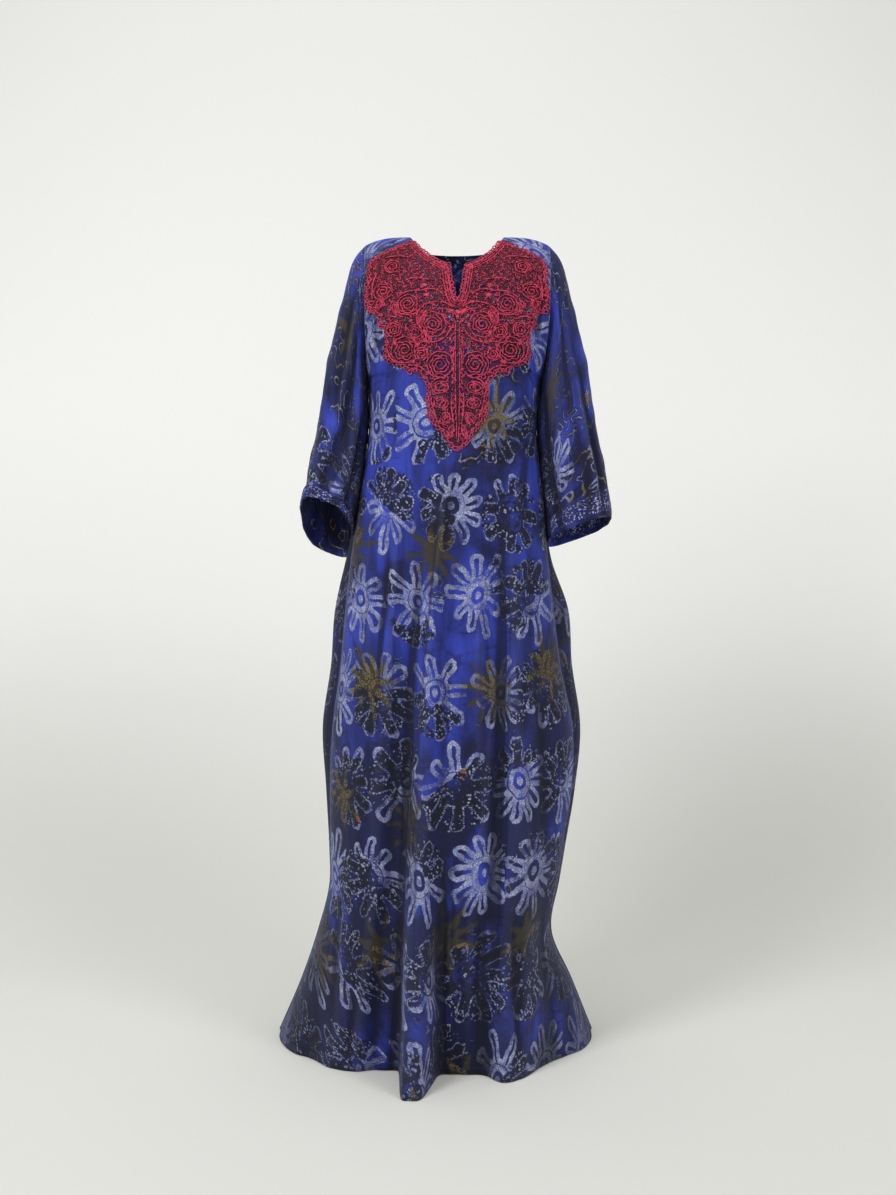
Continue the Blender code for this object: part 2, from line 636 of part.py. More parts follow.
def main():
    clear_scene()
    slit = SLIT_HALF / SHOULDER_HALF
    neck = NECK_HALF / SHOULDER_HALF
    neck_sides = tuple(side * share * neck for side in (-1, 1) for share in NECK_SIDE_SHARES)
    slit_places = (-slit, -0.6 * slit, 0.0, 0.6 * slit, slit)
    front_columns = spread(FRONT_COLUMNS, -0.06, 0.26, 1.3, neck_sides + slit_places)
    back_columns = spread(BACK_COLUMNS, 0.0, 0.5, 0.2, neck_sides)
    front = body_panel(
        "front_panel", front_point, front_columns, (NECK_DEPTH_FRONT, CHEST_DEPTH, SLIT_LENGTH), -1,
        cloth_material("front batik", BATIK_BLUE, 0.8),
    )
    back = body_panel(
        "back_panel", back_point, back_columns, (NECK_DEPTH_BACK, SHOULDER_BLADE_DEPTH, 0.0), 1,
        cloth_material("back batik", BATIK_BLUE, 0.8),
    )
    left_batik = cloth_material("left sleeve batik", BATIK_BLUE, 0.8)
    right_batik = cloth_material("right sleeve batik", BATIK_BLUE, 0.8)
    add_sleeve("left_sleeve", LEFT_SLEEVE, front[:, 0], back[:, -1], left_batik)
    add_sleeve("right_sleeve", RIGHT_SLEEVE, front[:, -1], back[:, 0], right_batik)
    add_lace("lace_yoke", cloth_material("crimson lace", LACE_CRIMSON, 0.7))


if __name__ == "__main__":
    main()
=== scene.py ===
"""Looks of a long worn kaftan: four cloth shells dyed in blue batik, and a yoke of crimson corded lace."""

import math

import bpy
import numpy as np
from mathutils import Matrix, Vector
from mathutils.geometry import delaunay_2d_cdt


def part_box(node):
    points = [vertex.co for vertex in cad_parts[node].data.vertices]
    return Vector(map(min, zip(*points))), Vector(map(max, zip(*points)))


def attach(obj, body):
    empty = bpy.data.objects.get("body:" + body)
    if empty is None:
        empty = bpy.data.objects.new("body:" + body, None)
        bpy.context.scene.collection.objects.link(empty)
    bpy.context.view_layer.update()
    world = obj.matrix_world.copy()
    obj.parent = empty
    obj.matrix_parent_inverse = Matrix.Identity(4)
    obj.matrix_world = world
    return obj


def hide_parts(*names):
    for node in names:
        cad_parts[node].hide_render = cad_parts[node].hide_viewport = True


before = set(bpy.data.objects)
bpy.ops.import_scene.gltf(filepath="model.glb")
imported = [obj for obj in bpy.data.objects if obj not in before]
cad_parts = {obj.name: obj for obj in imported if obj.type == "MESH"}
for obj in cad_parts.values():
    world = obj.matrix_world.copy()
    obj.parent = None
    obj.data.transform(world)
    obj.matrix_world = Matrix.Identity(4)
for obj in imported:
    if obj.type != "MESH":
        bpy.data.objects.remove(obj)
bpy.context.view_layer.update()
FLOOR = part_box("front_panel")[0].z + 0.001

# The garment's own sizes in metres, as in the part's source
SHOULDER_HALF = 0.172
NECK_HALF = 0.0885
NECK_DEPTH_FRONT = 0.0835
NECK_DEPTH_BACK = 0.0450
NECK_ROUNDNESS = 2.3
SLIT_HALF = 0.0145
SLIT_LENGTH = 0.071
NECK_REACH = 0.32
SHOULDER_TOP = -0.002
SHOULDER_SLOPE = 0.016
ARMHOLE_DROP = 0.270
ARMHOLE_DEPTH_FRONT = 0.070
ARMHOLE_DEPTH_BACK = 0.080
CHEST_DROP = 0.300
CHEST_DEPTH = 0.130
SHOULDER_BLADE_DEPTH = 0.118
CHEST_SHARE = 0.62
CHEST_SHARE_DROP = 0.45
EDGE_SHARPNESS = 8
FRONT_ROUNDNESS = 2.15
SWELL_DEPTH = 0.100
SEAM_GAP = 0.0003
HEM_DROP = 1.503

BODY_COLUMNS = ("z", "left", "right", "swell_left", "swell_right", "front", "back", "seam_y")
BODY_ROWS = (
    (0.000, 0.172, 0.172, 0.000, 0.000, 0.130, 0.118, 0.000),
    (-0.100, 0.171, 0.172, 0.000, 0.000, 0.130, 0.118, 0.000),
    (-0.200, 0.169, 0.166, 0.000, 0.000, 0.130, 0.118, 0.000),
    (-0.270, 0.167, 0.158, 0.000, 0.000, 0.130, 0.118, 0.000),
    (-0.353, 0.165, 0.149, 0.000, 0.000, 0.131, 0.116, -0.004),
    (-0.500, 0.183, 0.163, 0.002, 0.002, 0.131, 0.115, -0.010),
    (-0.600, 0.196, 0.168, 0.013, 0.009, 0.134, 0.124, -0.015),
    (-0.700, 0.2065, 0.178, 0.025, 0.034, 0.140, 0.134, -0.018),
    (-0.800, 0.2155, 0.190, 0.023, 0.028, 0.148, 0.142, -0.018),
    (-0.920, 0.231, 0.214, 0.024, 0.020, 0.158, 0.151, -0.012),
    (-1.040, 0.237, 0.213, 0.011, 0.010, 0.168, 0.160, -0.004),
    (-1.150, 0.236, 0.196, 0.006, 0.009, 0.178, 0.172, 0.000),
    (-1.210, 0.237, 0.188, 0.004, 0.007, 0.184, 0.180, 0.004),
    (-1.310, 0.262, 0.176, 0.003, 0.004, 0.193, 0.196, 0.012),
    (-1.400, 0.293, 0.215, 0.003, 0.003, 0.200, 0.214, 0.022),
    (-HEM_DROP, 0.337, 0.256, 0.003, 0.003, 0.206, 0.248, 0.045),
)

# The largest folds, as in the part's source, but sharper on the left of the centre lobe
FOLD_FLATNESS = 3.0
LOBE_LEFT_SHARPNESS = 9.0
FOLD_COLUMNS = ("name", "top", "x_top", "x_mid", "x_hem", "out_mid", "out_hem", "reach_left", "reach_right")
FRONT_FOLDS = (
    ("centre lobe", -0.400, -0.022, -0.059, -0.075, 0.014, 0.128, 0.025, 0.032),
    ("left trough", -0.520, -0.082, -0.100, -0.135, -0.016, -0.012, 0.034, 0.030),
    ("left swell", -0.620, -0.140, -0.165, -0.215, 0.008, 0.012, 0.040, 0.045),
    ("left hem groove", -1.180, -0.215, -0.235, -0.262, -0.002, -0.012, 0.020, 0.024),
    ("right groove", -0.560, 0.074, 0.080, 0.030, -0.012, 0.006, 0.024, 0.024),
    ("right ridge", -0.520, 0.104, 0.110, 0.088, 0.010, 0.058, 0.034, 0.048),
    ("right flank", -0.980, 0.150, 0.160, 0.190, -0.004, -0.010, 0.026, 0.030),
)
BACK_FOLDS = (
    ("back left trough", -0.420, -0.100, -0.120, -0.170, -0.012, -0.026, 0.030, 0.036),
    ("back left ridge", -0.520, -0.050, -0.066, -0.098, 0.012, 0.034, 0.030, 0.034),
    ("back centre trough", -0.380, 0.004, -0.006, -0.024, -0.010, -0.024, 0.028, 0.032),
    ("back right ridge", -0.480, 0.052, 0.058, 0.050, 0.014, 0.030, 0.028, 0.034),
    ("back right trough", -0.600, 0.104, 0.116, 0.122, -0.010, -0.026, 0.026, 0.030),
    ("back right swell", -0.900, 0.140, 0.156, 0.182, 0.006, 0.012, 0.026, 0.026),
)

# Smaller creases: a line through three places (x, z), how far it stands out (a trough is negative), and how
# far it reaches to the left and right of the line
CREASE_COLUMNS = ("name", "start", "middle", "end", "out", "reach_left", "reach_right")
FRONT_CREASES = (
    ("centre ridge line", (-0.014, -0.400), (-0.056, -0.800), (-0.072, -1.360), 0.0080, 0.0045, 0.024),
    ("trough by centre ridge", (-0.066, -0.600), (-0.079, -0.850), (-0.088, -1.180), -0.0085, 0.016, 0.010),
    ("groove by centre ridge", (0.003, -0.400), (-0.012, -0.500), (-0.034, -0.640), -0.0050, 0.006, 0.010),
    ("lobe right side", (-0.036, -1.220), (-0.037, -1.380), (-0.033, -1.560), -0.0140, 0.0045, 0.014),
    ("lobe left side", (-0.090, -1.280), (-0.101, -1.420), (-0.106, -1.560), -0.0130, 0.016, 0.0045),
    ("left flank crease", (-0.120, -0.540), (-0.130, -0.700), (-0.146, -0.900), -0.0060, 0.010, 0.005),
    ("left flank ridge", (-0.106, -0.500), (-0.114, -0.700), (-0.122, -0.980), 0.0040, 0.010, 0.005),
    ("left hip drag", (-0.148, -0.480), (-0.156, -0.620), (-0.172, -0.820), 0.0040, 0.006, 0.014),
    ("left shin crease", (-0.206, -1.180), (-0.214, -1.300), (-0.226, -1.460), -0.0080, 0.014, 0.005),
    ("left hem groove", (-0.186, -1.370), (-0.188, -1.420), (-0.192, -1.470), -0.0060, 0.006, 0.010),
    ("left hem ridge", (-0.150, -1.200), (-0.164, -1.340), (-0.176, -1.520), 0.0070, 0.008, 0.020),
    ("right sharp groove", (0.084, -0.560), (0.083, -0.800), (0.068, -1.320), -0.0080, 0.016, 0.0038),
    ("right bright ridge", (0.096, -0.540), (0.096, -0.800), (0.084, -1.240), 0.0050, 0.005, 0.018),
    ("middle soft ridge", (0.036, -0.480), (0.040, -0.700), (0.030, -1.040), 0.0042, 0.020, 0.009),
    ("middle groove", (0.050, -0.600), (0.054, -0.780), (0.050, -0.960), -0.0036, 0.006, 0.010),
    ("right waist crease", (0.118, -0.400), (0.124, -0.560), (0.134, -0.780), -0.0052, 0.006, 0.012),
    ("right thigh crease", (0.136, -0.780), (0.146, -0.940), (0.154, -1.120), -0.0066, 0.006, 0.014),
    ("right knee ridge", (0.116, -0.900), (0.122, -1.060), (0.128, -1.240), 0.0050, 0.014, 0.008),
    ("hem groove at the middle", (0.038, -1.240), (0.039, -1.340), (0.042, -1.450), -0.0070, 0.010, 0.004),
    ("hem ridge at the middle", (0.052, -1.220), (0.056, -1.360), (0.062, -1.520), 0.0060, 0.006, 0.014),
    ("right hem groove", (0.095, -1.230), (0.098, -1.380), (0.103, -1.520), -0.0120, 0.004, 0.022),
    ("right shin crease", (0.150, -1.230), (0.158, -1.350), (0.172, -1.480), -0.0060, 0.014, 0.006),
    ("thin pair left", (-0.026, -1.140), (-0.022, -1.240), (-0.022, -1.330), -0.0030, 0.004, 0.003),
    ("thin pair right", (-0.012, -1.150), (-0.009, -1.240), (-0.010, -1.320), -0.0026, 0.003, 0.004),
    ("chest drag left", (-0.150, -0.290), (-0.128, -0.400), (-0.112, -0.540), 0.0040, 0.006, 0.014),
    ("chest drag right", (0.138, -0.290), (0.122, -0.390), (0.108, -0.520), 0.0042, 0.014, 0.006),
    ("underarm drag left", (-0.160, -0.280), (-0.142, -0.330), (-0.110, -0.360), -0.0034, 0.008, 0.008),
    ("underarm drag right", (0.152, -0.280), (0.134, -0.340), (0.106, -0.370), -0.0036, 0.008, 0.008),
    ("left armhole drag", (-0.158, -0.080), (-0.150, -0.170), (-0.150, -0.260), -0.0030, 0.006, 0.008),
    ("right armhole drag", (0.158, -0.080), (0.150, -0.170), (0.148, -0.260), -0.0034, 0.008, 0.006),
)
BACK_CREASES = (
    ("spine groove", (0.012, -0.330), (0.004, -0.480), (-0.010, -0.760), -0.0060, 0.008, 0.014),
    ("left blade ridge", (-0.080, -0.320), (-0.086, -0.520), (-0.104, -0.860), 0.0060, 0.006, 0.018),
    ("right blade ridge", (0.078, -0.330), (0.084, -0.540), (0.092, -0.900), 0.0056, 0.018, 0.006),
    ("left seat groove", (-0.066, -0.700), (-0.080, -0.960), (-0.104, -1.280), -0.0080, 0.006, 0.016),
    ("middle seat groove", (0.028, -0.660), (0.026, -0.900), (0.018, -1.220), -0.0070, 0.014, 0.006),
    ("right seat ridge", (0.088, -0.760), (0.094, -0.980), (0.098, -1.300), 0.0064, 0.006, 0.018),
    ("left calf ridge", (-0.140, -1.000), (-0.158, -1.200), (-0.196, -1.480), 0.0070, 0.008, 0.020),
    ("middle calf groove", (-0.004, -1.120), (-0.012, -1.300), (-0.018, -1.510), -0.0085, 0.012, 0.006),
    ("right calf groove", (0.086, -1.180), (0.094, -1.340), (0.108, -1.510), -0.0080, 0.006, 0.014),
    ("right side crease", (0.140, -0.600), (0.148, -0.800), (0.152, -1.060), -0.0060, 0.006, 0.012),
    ("left side crease", (-0.150, -0.520), (-0.166, -0.760), (-0.184, -1.040), -0.0062, 0.014, 0.006),
    ("underarm drag left", (-0.160, -0.280), (-0.130, -0.340), (-0.090, -0.350), -0.0036, 0.008, 0.008),
    ("underarm drag right", (0.152, -0.280), (0.124, -0.336), (0.088, -0.350), -0.0036, 0.008, 0.008),
)

# Sleeves, as in the part's source, but with inner lines that hang closer to the body
SLEEVE_DEPTH = (0.072, 0.078, 0.084, 0.086)
SLEEVE_SQUARENESS = (2.0, 2.3, 2.8, 3.0)
OUTER_LINE = (
    (0.1723, -0.018),
    (0.188, -0.036),
    (0.199, -0.060),
    (0.2105, -0.103),
    (0.222, -0.148),
    (0.232, -0.193),
    (0.242, -0.238),
    (0.249, -0.283),
    (0.255, -0.328),
    (0.262, -0.373),
    (0.271, -0.418),
    (0.279, -0.464),
    (0.286, -0.505),
)
LEFT_INNER_LINE = (
    (0.1673, -0.270),
    (0.1668, -0.300),
    (0.1655, -0.340),
    (0.1728, -0.420),
    (0.1822, -0.500),
    (0.1965, -0.562),
)
RIGHT_INNER_LINE = (
    (0.1583, -0.270),
    (0.1545, -0.300),
    (0.1500, -0.340),
    (0.1536, -0.420),
    (0.1606, -0.500),
    (0.1700, -0.574),
)
SLEEVE_COLUMNS = (
    "side", "inner_line", "cuff_outer", "cuff_tilt", "groove_at", "groove_depth", "groove_reach", "turned",
)
LEFT_SLEEVE = (-1, LEFT_INNER_LINE, (0.2905, -0.528), 0.046, 118.0, 0.012, 20.0, 0.024)
RIGHT_SLEEVE = (1, RIGHT_INNER_LINE, (0.287, -0.534), 0.012, 140.0, 0.008, 22.0, 0.0)
TURNED_LIFT = 0.0022
TURNED_ROWS = (0.45, 0.9, 1.0, 1.0, 1.0, 1.0, 0.9, 0.55)
TURNED_PAST_CUFF = 0.0010
TURNED_GAP = 0.001
TURNED_HEM_START = 0.010

# Sleeve creases: shares of the length, angles round the sleeve in degrees, how far out, and reach in degrees
SLEEVE_CREASE_COLUMNS = ("name", "share_start", "share_end", "angle_start", "angle_end", "out", "reach")
LEFT_SLEEVE_CREASES = (
    ("long front groove", 0.12, 1.00, 96.0, 88.0, -0.0100, 7.0),
    ("front ridge", 0.20, 1.04, 116.0, 110.0, 0.0080, 9.0),
    ("inner groove", 0.25, 1.04, 142.0, 134.0, -0.0090, 10.0),
    ("outer flank ridge", 0.10, 0.85, 46.0, 56.0, 0.0060, 11.0),
    ("outer drag", 0.05, 0.55, 70.0, 76.0, -0.0050, 7.0),
    ("back groove", 0.20, 1.00, -70.0, -84.0, -0.0090, 9.0),
    ("back ridge", 0.15, 0.95, -40.0, -52.0, 0.0064, 10.0),
    ("back inner groove", 0.30, 1.02, -130.0, -122.0, -0.0076, 9.0),
)
RIGHT_SLEEVE_CREASES = (
    ("long front groove", 0.20, 1.04, 132.0, 124.0, -0.0090, 9.0),
    ("front ridge", 0.10, 1.00, 100.0, 104.0, 0.0070, 11.0),
    ("outer flank groove", 0.30, 0.95, 52.0, 56.0, -0.0066, 9.0),
    ("cuff ridge", 0.50, 1.04, 72.0, 70.0, 0.0056, 8.0),
    ("outer drag", 0.05, 0.50, 74.0, 82.0, -0.0048, 7.0),
    ("back groove", 0.20, 1.00, -66.0, -80.0, -0.0088, 9.0),
    ("back ridge", 0.15, 1.00, -104.0, -98.0, 0.0062, 9.0),
    ("back outer groove", 0.40, 1.02, -34.0, -28.0, -0.0070, 9.0),
)

# Cloth shells: thickness, and how many columns and rows each grid has
CLOTH_THICKNESS = 0.0007
CLOTH_LIFT = 0.0003
FRONT_GRID = (236, 200)
BACK_GRID = (190, 170)
SLEEVE_GRID = (150, 120)

# How the cloth lies: wavering creases, the painted shadow lines at their feet, gentle ripples (height and
# width), the drop at which they start and over which they grow, how far in from a side seam a panel is held
# flat, how folds take their painted shade and highlight, and how rows and columns crowd
CREASE_WAVER = 0.0014
CREASE_LINE_AWAY = 0.0030
CREASE_LINE_REACH = 0.0022
DARKEST_CREASE = 0.007
FRONT_RIPPLE = (0.0011, 0.085)
BACK_RIPPLE = (0.0014, 0.10)
SLEEVE_RIPPLE = (0.0012, 0.09)
RIPPLE_START = 0.05
RIPPLE_REACH = 0.25
FRONT_HELD = 0.12
BACK_HELD = 0.25
FOLD_SHADE_DEPTH = 0.0044
FOLD_COLUMNS_NEAR = 7
FOLD_COLUMNS_WIDE = 30
UPPER_ROWS_SHARE = 0.42
EDGE_CROWDING = 1.4
SLEEVE_ROW_CROWDING = 1.08
SLEEVE_START_SHARE = 0.3

# Where each panel lies on the printed length of cloth, across and along
FRONT_PRINT_START = 0.0
BACK_PRINT_START = 2.31
LEFT_PRINT_START = (4.40, -0.06)
RIGHT_PRINT_START = (6.17, 0.03)


def named(columns, row):
    """One table row as a dictionary of its named columns."""
    return dict(zip(columns, row))


def unit(vectors):
    """Vectors brought to a length of 1."""
    return vectors / np.maximum(np.linalg.norm(vectors, axis=-1, keepdims=True), 1e-12)


def curve(knots, values, at):
    """A smooth line through the values, at one place or an array of places."""
    knots = np.asarray(knots, float)
    values = np.asarray(values, float)
    slopes = np.gradient(values, knots)
    i = np.clip(np.searchsorted(knots, at) - 1, 0, len(knots) - 2)
    step = knots[i + 1] - knots[i]
    f = np.clip((at - knots[i]) / step, 0.0, 1.0)
    start = values[i] * (1 + 2 * f) * (1 - f) ** 2 + slopes[i] * step * f * (1 - f) ** 2
    end = values[i + 1] * (3 - 2 * f) * f**2 - slopes[i + 1] * step * (1 - f) * f**2
    return start + end


def body(column, z):
    """A named column of the body table at height z."""
    rows = BODY_ROWS[::-1]
    return curve([row[0] for row in rows], [row[BODY_COLUMNS.index(column)] for row in rows], z)


def shoulder_line(x):
    """Height of the shoulder seam at x."""
    out = np.clip((np.abs(x) - NECK_HALF) / (SHOULDER_HALF - NECK_HALF), 0.0, 1.2)
    return SHOULDER_TOP - SHOULDER_SLOPE * out**3


def height(x, drop):
    """Height of the cloth at a drop below the shoulder seam."""
    return shoulder_line(x) * np.clip(1 - drop / ARMHOLE_DROP, 0.0, 1.0) - drop


def roll(drop, depth, reach):
    """How far a quarter-ellipse profile has come forward at a drop."""
    left = np.clip(1 - drop / reach, 0.0, 1.0)
    return depth * np.sqrt(1 - left**2)


def armhole(drop, depth):
    """How far the armhole's edge stands from the shoulder line at a drop."""
    across = np.clip(1 - 2 * drop / ARMHOLE_DROP, -1.0, 1.0)
    return depth * np.sqrt(1 - across**2)


def side_base(middle, seam, drop):
    """Depth that a panel's sides settle to: a share of its middle at the chest, the side seam below."""
    down = np.clip(drop / CHEST_SHARE_DROP, 0.0, 1.0)
    share = CHEST_SHARE * (1 - down**2 * (3 - 2 * down))
    return middle * share + seam * (1 - share / CHEST_SHARE)


def fold_offset(folds, x, z):
    """How far all the large folds together move the cloth out at x and z."""
    total = np.zeros(np.broadcast(x, z).shape)
    for row in folds:
        fold = named(FOLD_COLUMNS, row)
        down = np.clip((fold["top"] - z) / (fold["top"] + HEM_DROP), 0.0, 1.0)
        centre = curve((0.0, 0.5, 1.0), (fold["x_top"], fold["x_mid"], fold["x_hem"]), down)
        late = np.clip((down - 0.5) / 0.5, 0.0, 1.0)
        out = fold["out_mid"] * np.sin(np.clip(down / 0.5, 0.0, 1.0) * math.pi / 2)
        out = out + (fold["out_hem"] - fold["out_mid"]) * late**1.8
        wide = 0.75 + 0.25 * down
        reach = np.where(x < centre, fold["reach_left"], fold["reach_right"]) * wide
        sharp = LOBE_LEFT_SHARPNESS if fold["name"] == "centre lobe" else 0.0
        flatness = FOLD_FLATNESS + np.where(x < centre, sharp * late, 0.0)
        total = total + out * np.exp(-(np.abs((x - centre) / reach) ** flatness))
    return total


def ripple(a, b, scale, seed):
    """Gentle unevenness from a few crossed waves, between about -1 and 1."""
    turn = np.array([0.3, 1.4, 2.3, 3.6, 5.1]) + seed
    total = 0.0
    for k, angle in enumerate(turn):
        wave = (a * math.cos(angle) + b * math.sin(angle)) / scale * (1 + 0.37 * k)
        total = total + np.sin(2 * math.pi * wave + 1.7 * seed * (k + 1))
    return total / 3.2


def crease_places(creases, x, z):
    """For each smaller crease: its row, how far each place lies to its left, and how strong it is there."""
    for n, row in enumerate(creases):
        crease = named(CREASE_COLUMNS, row)
        start, middle, end = (np.array(crease[key]) for key in ("start", "middle", "end"))
        bent = 2 * middle - (start + end) / 2
        run = end - start
        place = np.stack(np.broadcast_arrays(x, z), axis=-1) - start
        share = (place @ run) / (run @ run)
        held = np.clip(share, 0.0, 1.0)[..., None]
        on_line = start * (1 - held) ** 2 + 2 * bent * held * (1 - held) + end * held**2
        off = place + start - on_line
        away = off[..., 0] * run[1] - off[..., 1] * run[0]
        away = away / math.hypot(*run) + CREASE_WAVER * np.sin(held[..., 0] * 9.0 + n)
        beyond = np.clip(np.abs(share - 0.5) * 2, 0.0, 2.0)
        yield crease, away, np.exp(-(beyond**4) * 1.4) * (0.8 + 0.2 * np.sin(share * 7.0 + 2.1 * n))


def crease_offset(creases, x, z):
    """How far the smaller creases move the cloth out. Each one wavers a little and fades at its ends."""
    total = np.zeros(np.broadcast(x, z).shape)
    for crease, away, strength in crease_places(creases, x, z):
        reach = np.where(away > 0, crease["reach_left"], crease["reach_right"])
        total = total + crease["out"] * strength * np.exp(-((away / reach) ** 2))
    return total


def crease_shadow_lines(creases, x, z):
    """How dark the painted shadow line at the foot of each trough, and beside each sharp ridge, is at x and
    z.
    """
    dark = np.zeros(np.broadcast(x, z).shape)
    for crease, away, strength in crease_places(creases, x, z):
        steep = -1 if crease["reach_left"] < crease["reach_right"] else 1
        moved = away if crease["out"] < 0 else away + steep * CREASE_LINE_AWAY
        deep = min(abs(crease["out"]) / DARKEST_CREASE, 1.0)
        dark = np.maximum(dark, deep * strength * np.exp(-((moved / CREASE_LINE_REACH) ** 2)))
    return np.clip(dark, 0.0, 1.0)


def front_point(s, drop):
    """Front panel at s across (-1 to 1) and a drop below the shoulder seam, as x, y, z arrays."""
    left = body("left", -drop)
    right = body("right", -drop)
    x = (right - left) / 2 + s * (right + left) / 2
    z = height(x, drop)
    edge = np.where(drop < ARMHOLE_DROP, -armhole(drop, ARMHOLE_DEPTH_FRONT), body("seam_y", z))
    middle = -np.where(drop < CHEST_DROP, roll(drop, CHEST_DEPTH, CHEST_DROP), body("front", z))
    base = side_base(middle, body("seam_y", z), drop)
    bow = np.clip(1 - np.abs(s) ** FRONT_ROUNDNESS, 0.0, 1.0) ** (1 / FRONT_ROUNDNESS)
    y = base + (middle - base) * bow + (edge - base) * np.abs(s) ** EDGE_SHARPNESS
    held = np.clip((1 - np.abs(s)) / FRONT_HELD, 0.0, 1.0)
    below_lace = np.clip((drop - RIPPLE_START) / RIPPLE_REACH, 0.0, 1.0)
    out = fold_offset(FRONT_FOLDS, x, z) + crease_offset(FRONT_CREASES, x, z)
    out = out + FRONT_RIPPLE[0] * below_lace * ripple(x, 0.45 * z, FRONT_RIPPLE[1], 1.0)
    return np.stack(np.broadcast_arrays(x, y - out * held - CLOTH_LIFT, z), axis=-1)


def back_point(s, drop):
    """Back panel at s across and a drop. Behind the side seam it swells past the front's edge."""
    left = body("left", -drop)
    right = body("right", -drop)
    half = (right + left) / 2
    mid = (right - left) / 2
    swell = np.where(s < 0, body("swell_left", -drop), body("swell_right", -drop))
    wide = half + np.clip(swell, 0.0, None)
    turn = math.pi - np.arcsin(np.clip(half / wide, 0.0, 1.0))
    angle = s * turn
    x = mid + wide * np.sin(angle)
    z = height(x, drop)
    edge = np.where(drop < ARMHOLE_DROP, armhole(drop, ARMHOLE_DEPTH_BACK), body("seam_y", z))
    deepest = np.where(drop < CHEST_DROP, roll(drop, SHOULDER_BLADE_DEPTH, CHEST_DROP), body("back", z))
    base = side_base(deepest, body("seam_y", z), drop)
    widest = base + SWELL_DEPTH * np.abs(np.cos(turn))
    behind = np.cos(angle) > 0
    y = widest + np.where(behind, deepest - widest, SWELL_DEPTH) * np.cos(angle)
    y = y + (edge - base) * np.abs(np.sin(angle)) ** EDGE_SHARPNESS
    held = np.clip((1 - np.abs(s)) / BACK_HELD, 0.0, 1.0)
    out = fold_offset(BACK_FOLDS, x, z) + crease_offset(BACK_CREASES, x, z)
    below_blades = np.clip(drop / RIPPLE_REACH, 0.0, 1.0)
    out = out + BACK_RIPPLE[0] * below_blades * ripple(x, 0.45 * z, BACK_RIPPLE[1], 2.0)
    return np.stack(np.broadcast_arrays(x, y + out * held + CLOTH_LIFT, z), axis=-1)


def neck_drop(x, neck_depth, profile_depth, slit_length):
    """Drop of the neckline below the shoulder seam at x, with the slit at its centre."""
    out = np.clip(np.abs(x) / NECK_HALF, 0.0, 1.0)
    depth = neck_depth * (1 - out**NECK_ROUNDNESS) ** (1 / NECK_ROUNDNESS)
    round_drop = CHEST_DROP * (1 - np.sqrt(1 - (depth / profile_depth) ** 2))
    slit = slit_length * np.clip(1 - (x / SLIT_HALF) ** 2, 0.0, 1.0)
    return round_drop + slit


def panel_drops(rows):
    """Drops of the rows: round the armhole by equal angles, then evenly to the floor."""
    upper_rows = round(rows * UPPER_ROWS_SHARE)
    angles = np.linspace(0.0, math.pi, upper_rows + 1)
    upper = ARMHOLE_DROP / 2 * (1 - np.cos(angles))
    lower = np.linspace(ARMHOLE_DROP, HEM_DROP, rows - upper_rows + 1)[1:]
    return np.concatenate([upper, lower])


def spread(count, crowd_at, crowd_width, crowd, fixed):
    """Places from -1 to 1, closer together at the edges and round one place, with the fixed places kept."""
    fine = np.linspace(-1.0, 1.0, 4001)
    crowding = crowd * np.exp(-(((fine - crowd_at) / crowd_width) ** 2))
    density = 1 + EDGE_CROWDING * np.abs(fine) ** 8 + crowding
    total = np.concatenate([[0.0], np.cumsum((density[1:] + density[:-1]) / 2)])
    total = total * count / total[-1]
    stops = np.interp(sorted((-1.0, 1.0) + fixed), fine, total)
    places = [-1.0]
    for start, end in zip(stops[:-1], stops[1:]):
        cells = max(1, round(end - start))
        places.extend(np.interp(np.linspace(start, end, cells + 1)[1:], total, fine))
    return np.array(places)


def panel_grid(point, columns, rows, neckline):
    """Outer points of a panel, with the drop of each."""
    drops = panel_drops(rows)[:, None]
    across = columns[None, :]
    top = neck_drop(across * SHOULDER_HALF, *neckline)
    drops = drops + top * np.clip(1 - drops / NECK_REACH, 0.0, 1.0)
    return point(across, drops), np.broadcast_to(drops, (drops.shape[0], len(columns)))


def grid_normals(grid, ring=False):
    """Unit normals of a grid of points, from its rows and columns."""
    if ring:
        wrapped = np.concatenate([grid[:, -2:-1], grid, grid[:, 1:2]], axis=1)
        across = wrapped[:, 2:] - wrapped[:, :-2]
    else:
        across = np.gradient(grid, axis=1)
    return unit(np.cross(np.gradient(grid, axis=0), across))


def lengths_across(grid, middle):
    """Length along the cloth from its middle column, for each point of each row."""
    steps = np.linalg.norm(np.diff(grid, axis=1), axis=-1)
    total = np.concatenate([np.zeros((len(grid), 1)), np.cumsum(steps, axis=1)], axis=1)
    return total - total[:, middle : middle + 1]


def fold_shade(grid, outward, ring=False):
    """How deep each place lies in a fold: 1 deep in a trough, 0.5 on plain cloth, 0 on a ridge, for painted
    shade in the troughs and a painted highlight on the ridges.
    """

    def softened(values, columns):
        count = int(columns * 3)
        weights = np.exp(-((np.arange(-count, count + 1) / columns) ** 2))
        last = values.shape[1] - 1
        places = np.arange(-count, last + 1 + count)
        wide = values[:, places % last if ring else np.clip(places, 0, last)]
        return sum(w * wide[:, k : k + last + 1] for k, w in enumerate(weights)) / weights.sum()

    deep = ((softened(grid, FOLD_COLUMNS_NEAR) - grid) * outward).sum(axis=-1)
    deep = deep - softened(deep, FOLD_COLUMNS_WIDE)
    return np.clip(0.5 + deep / FOLD_SHADE_DEPTH, 0.0, 1.0)


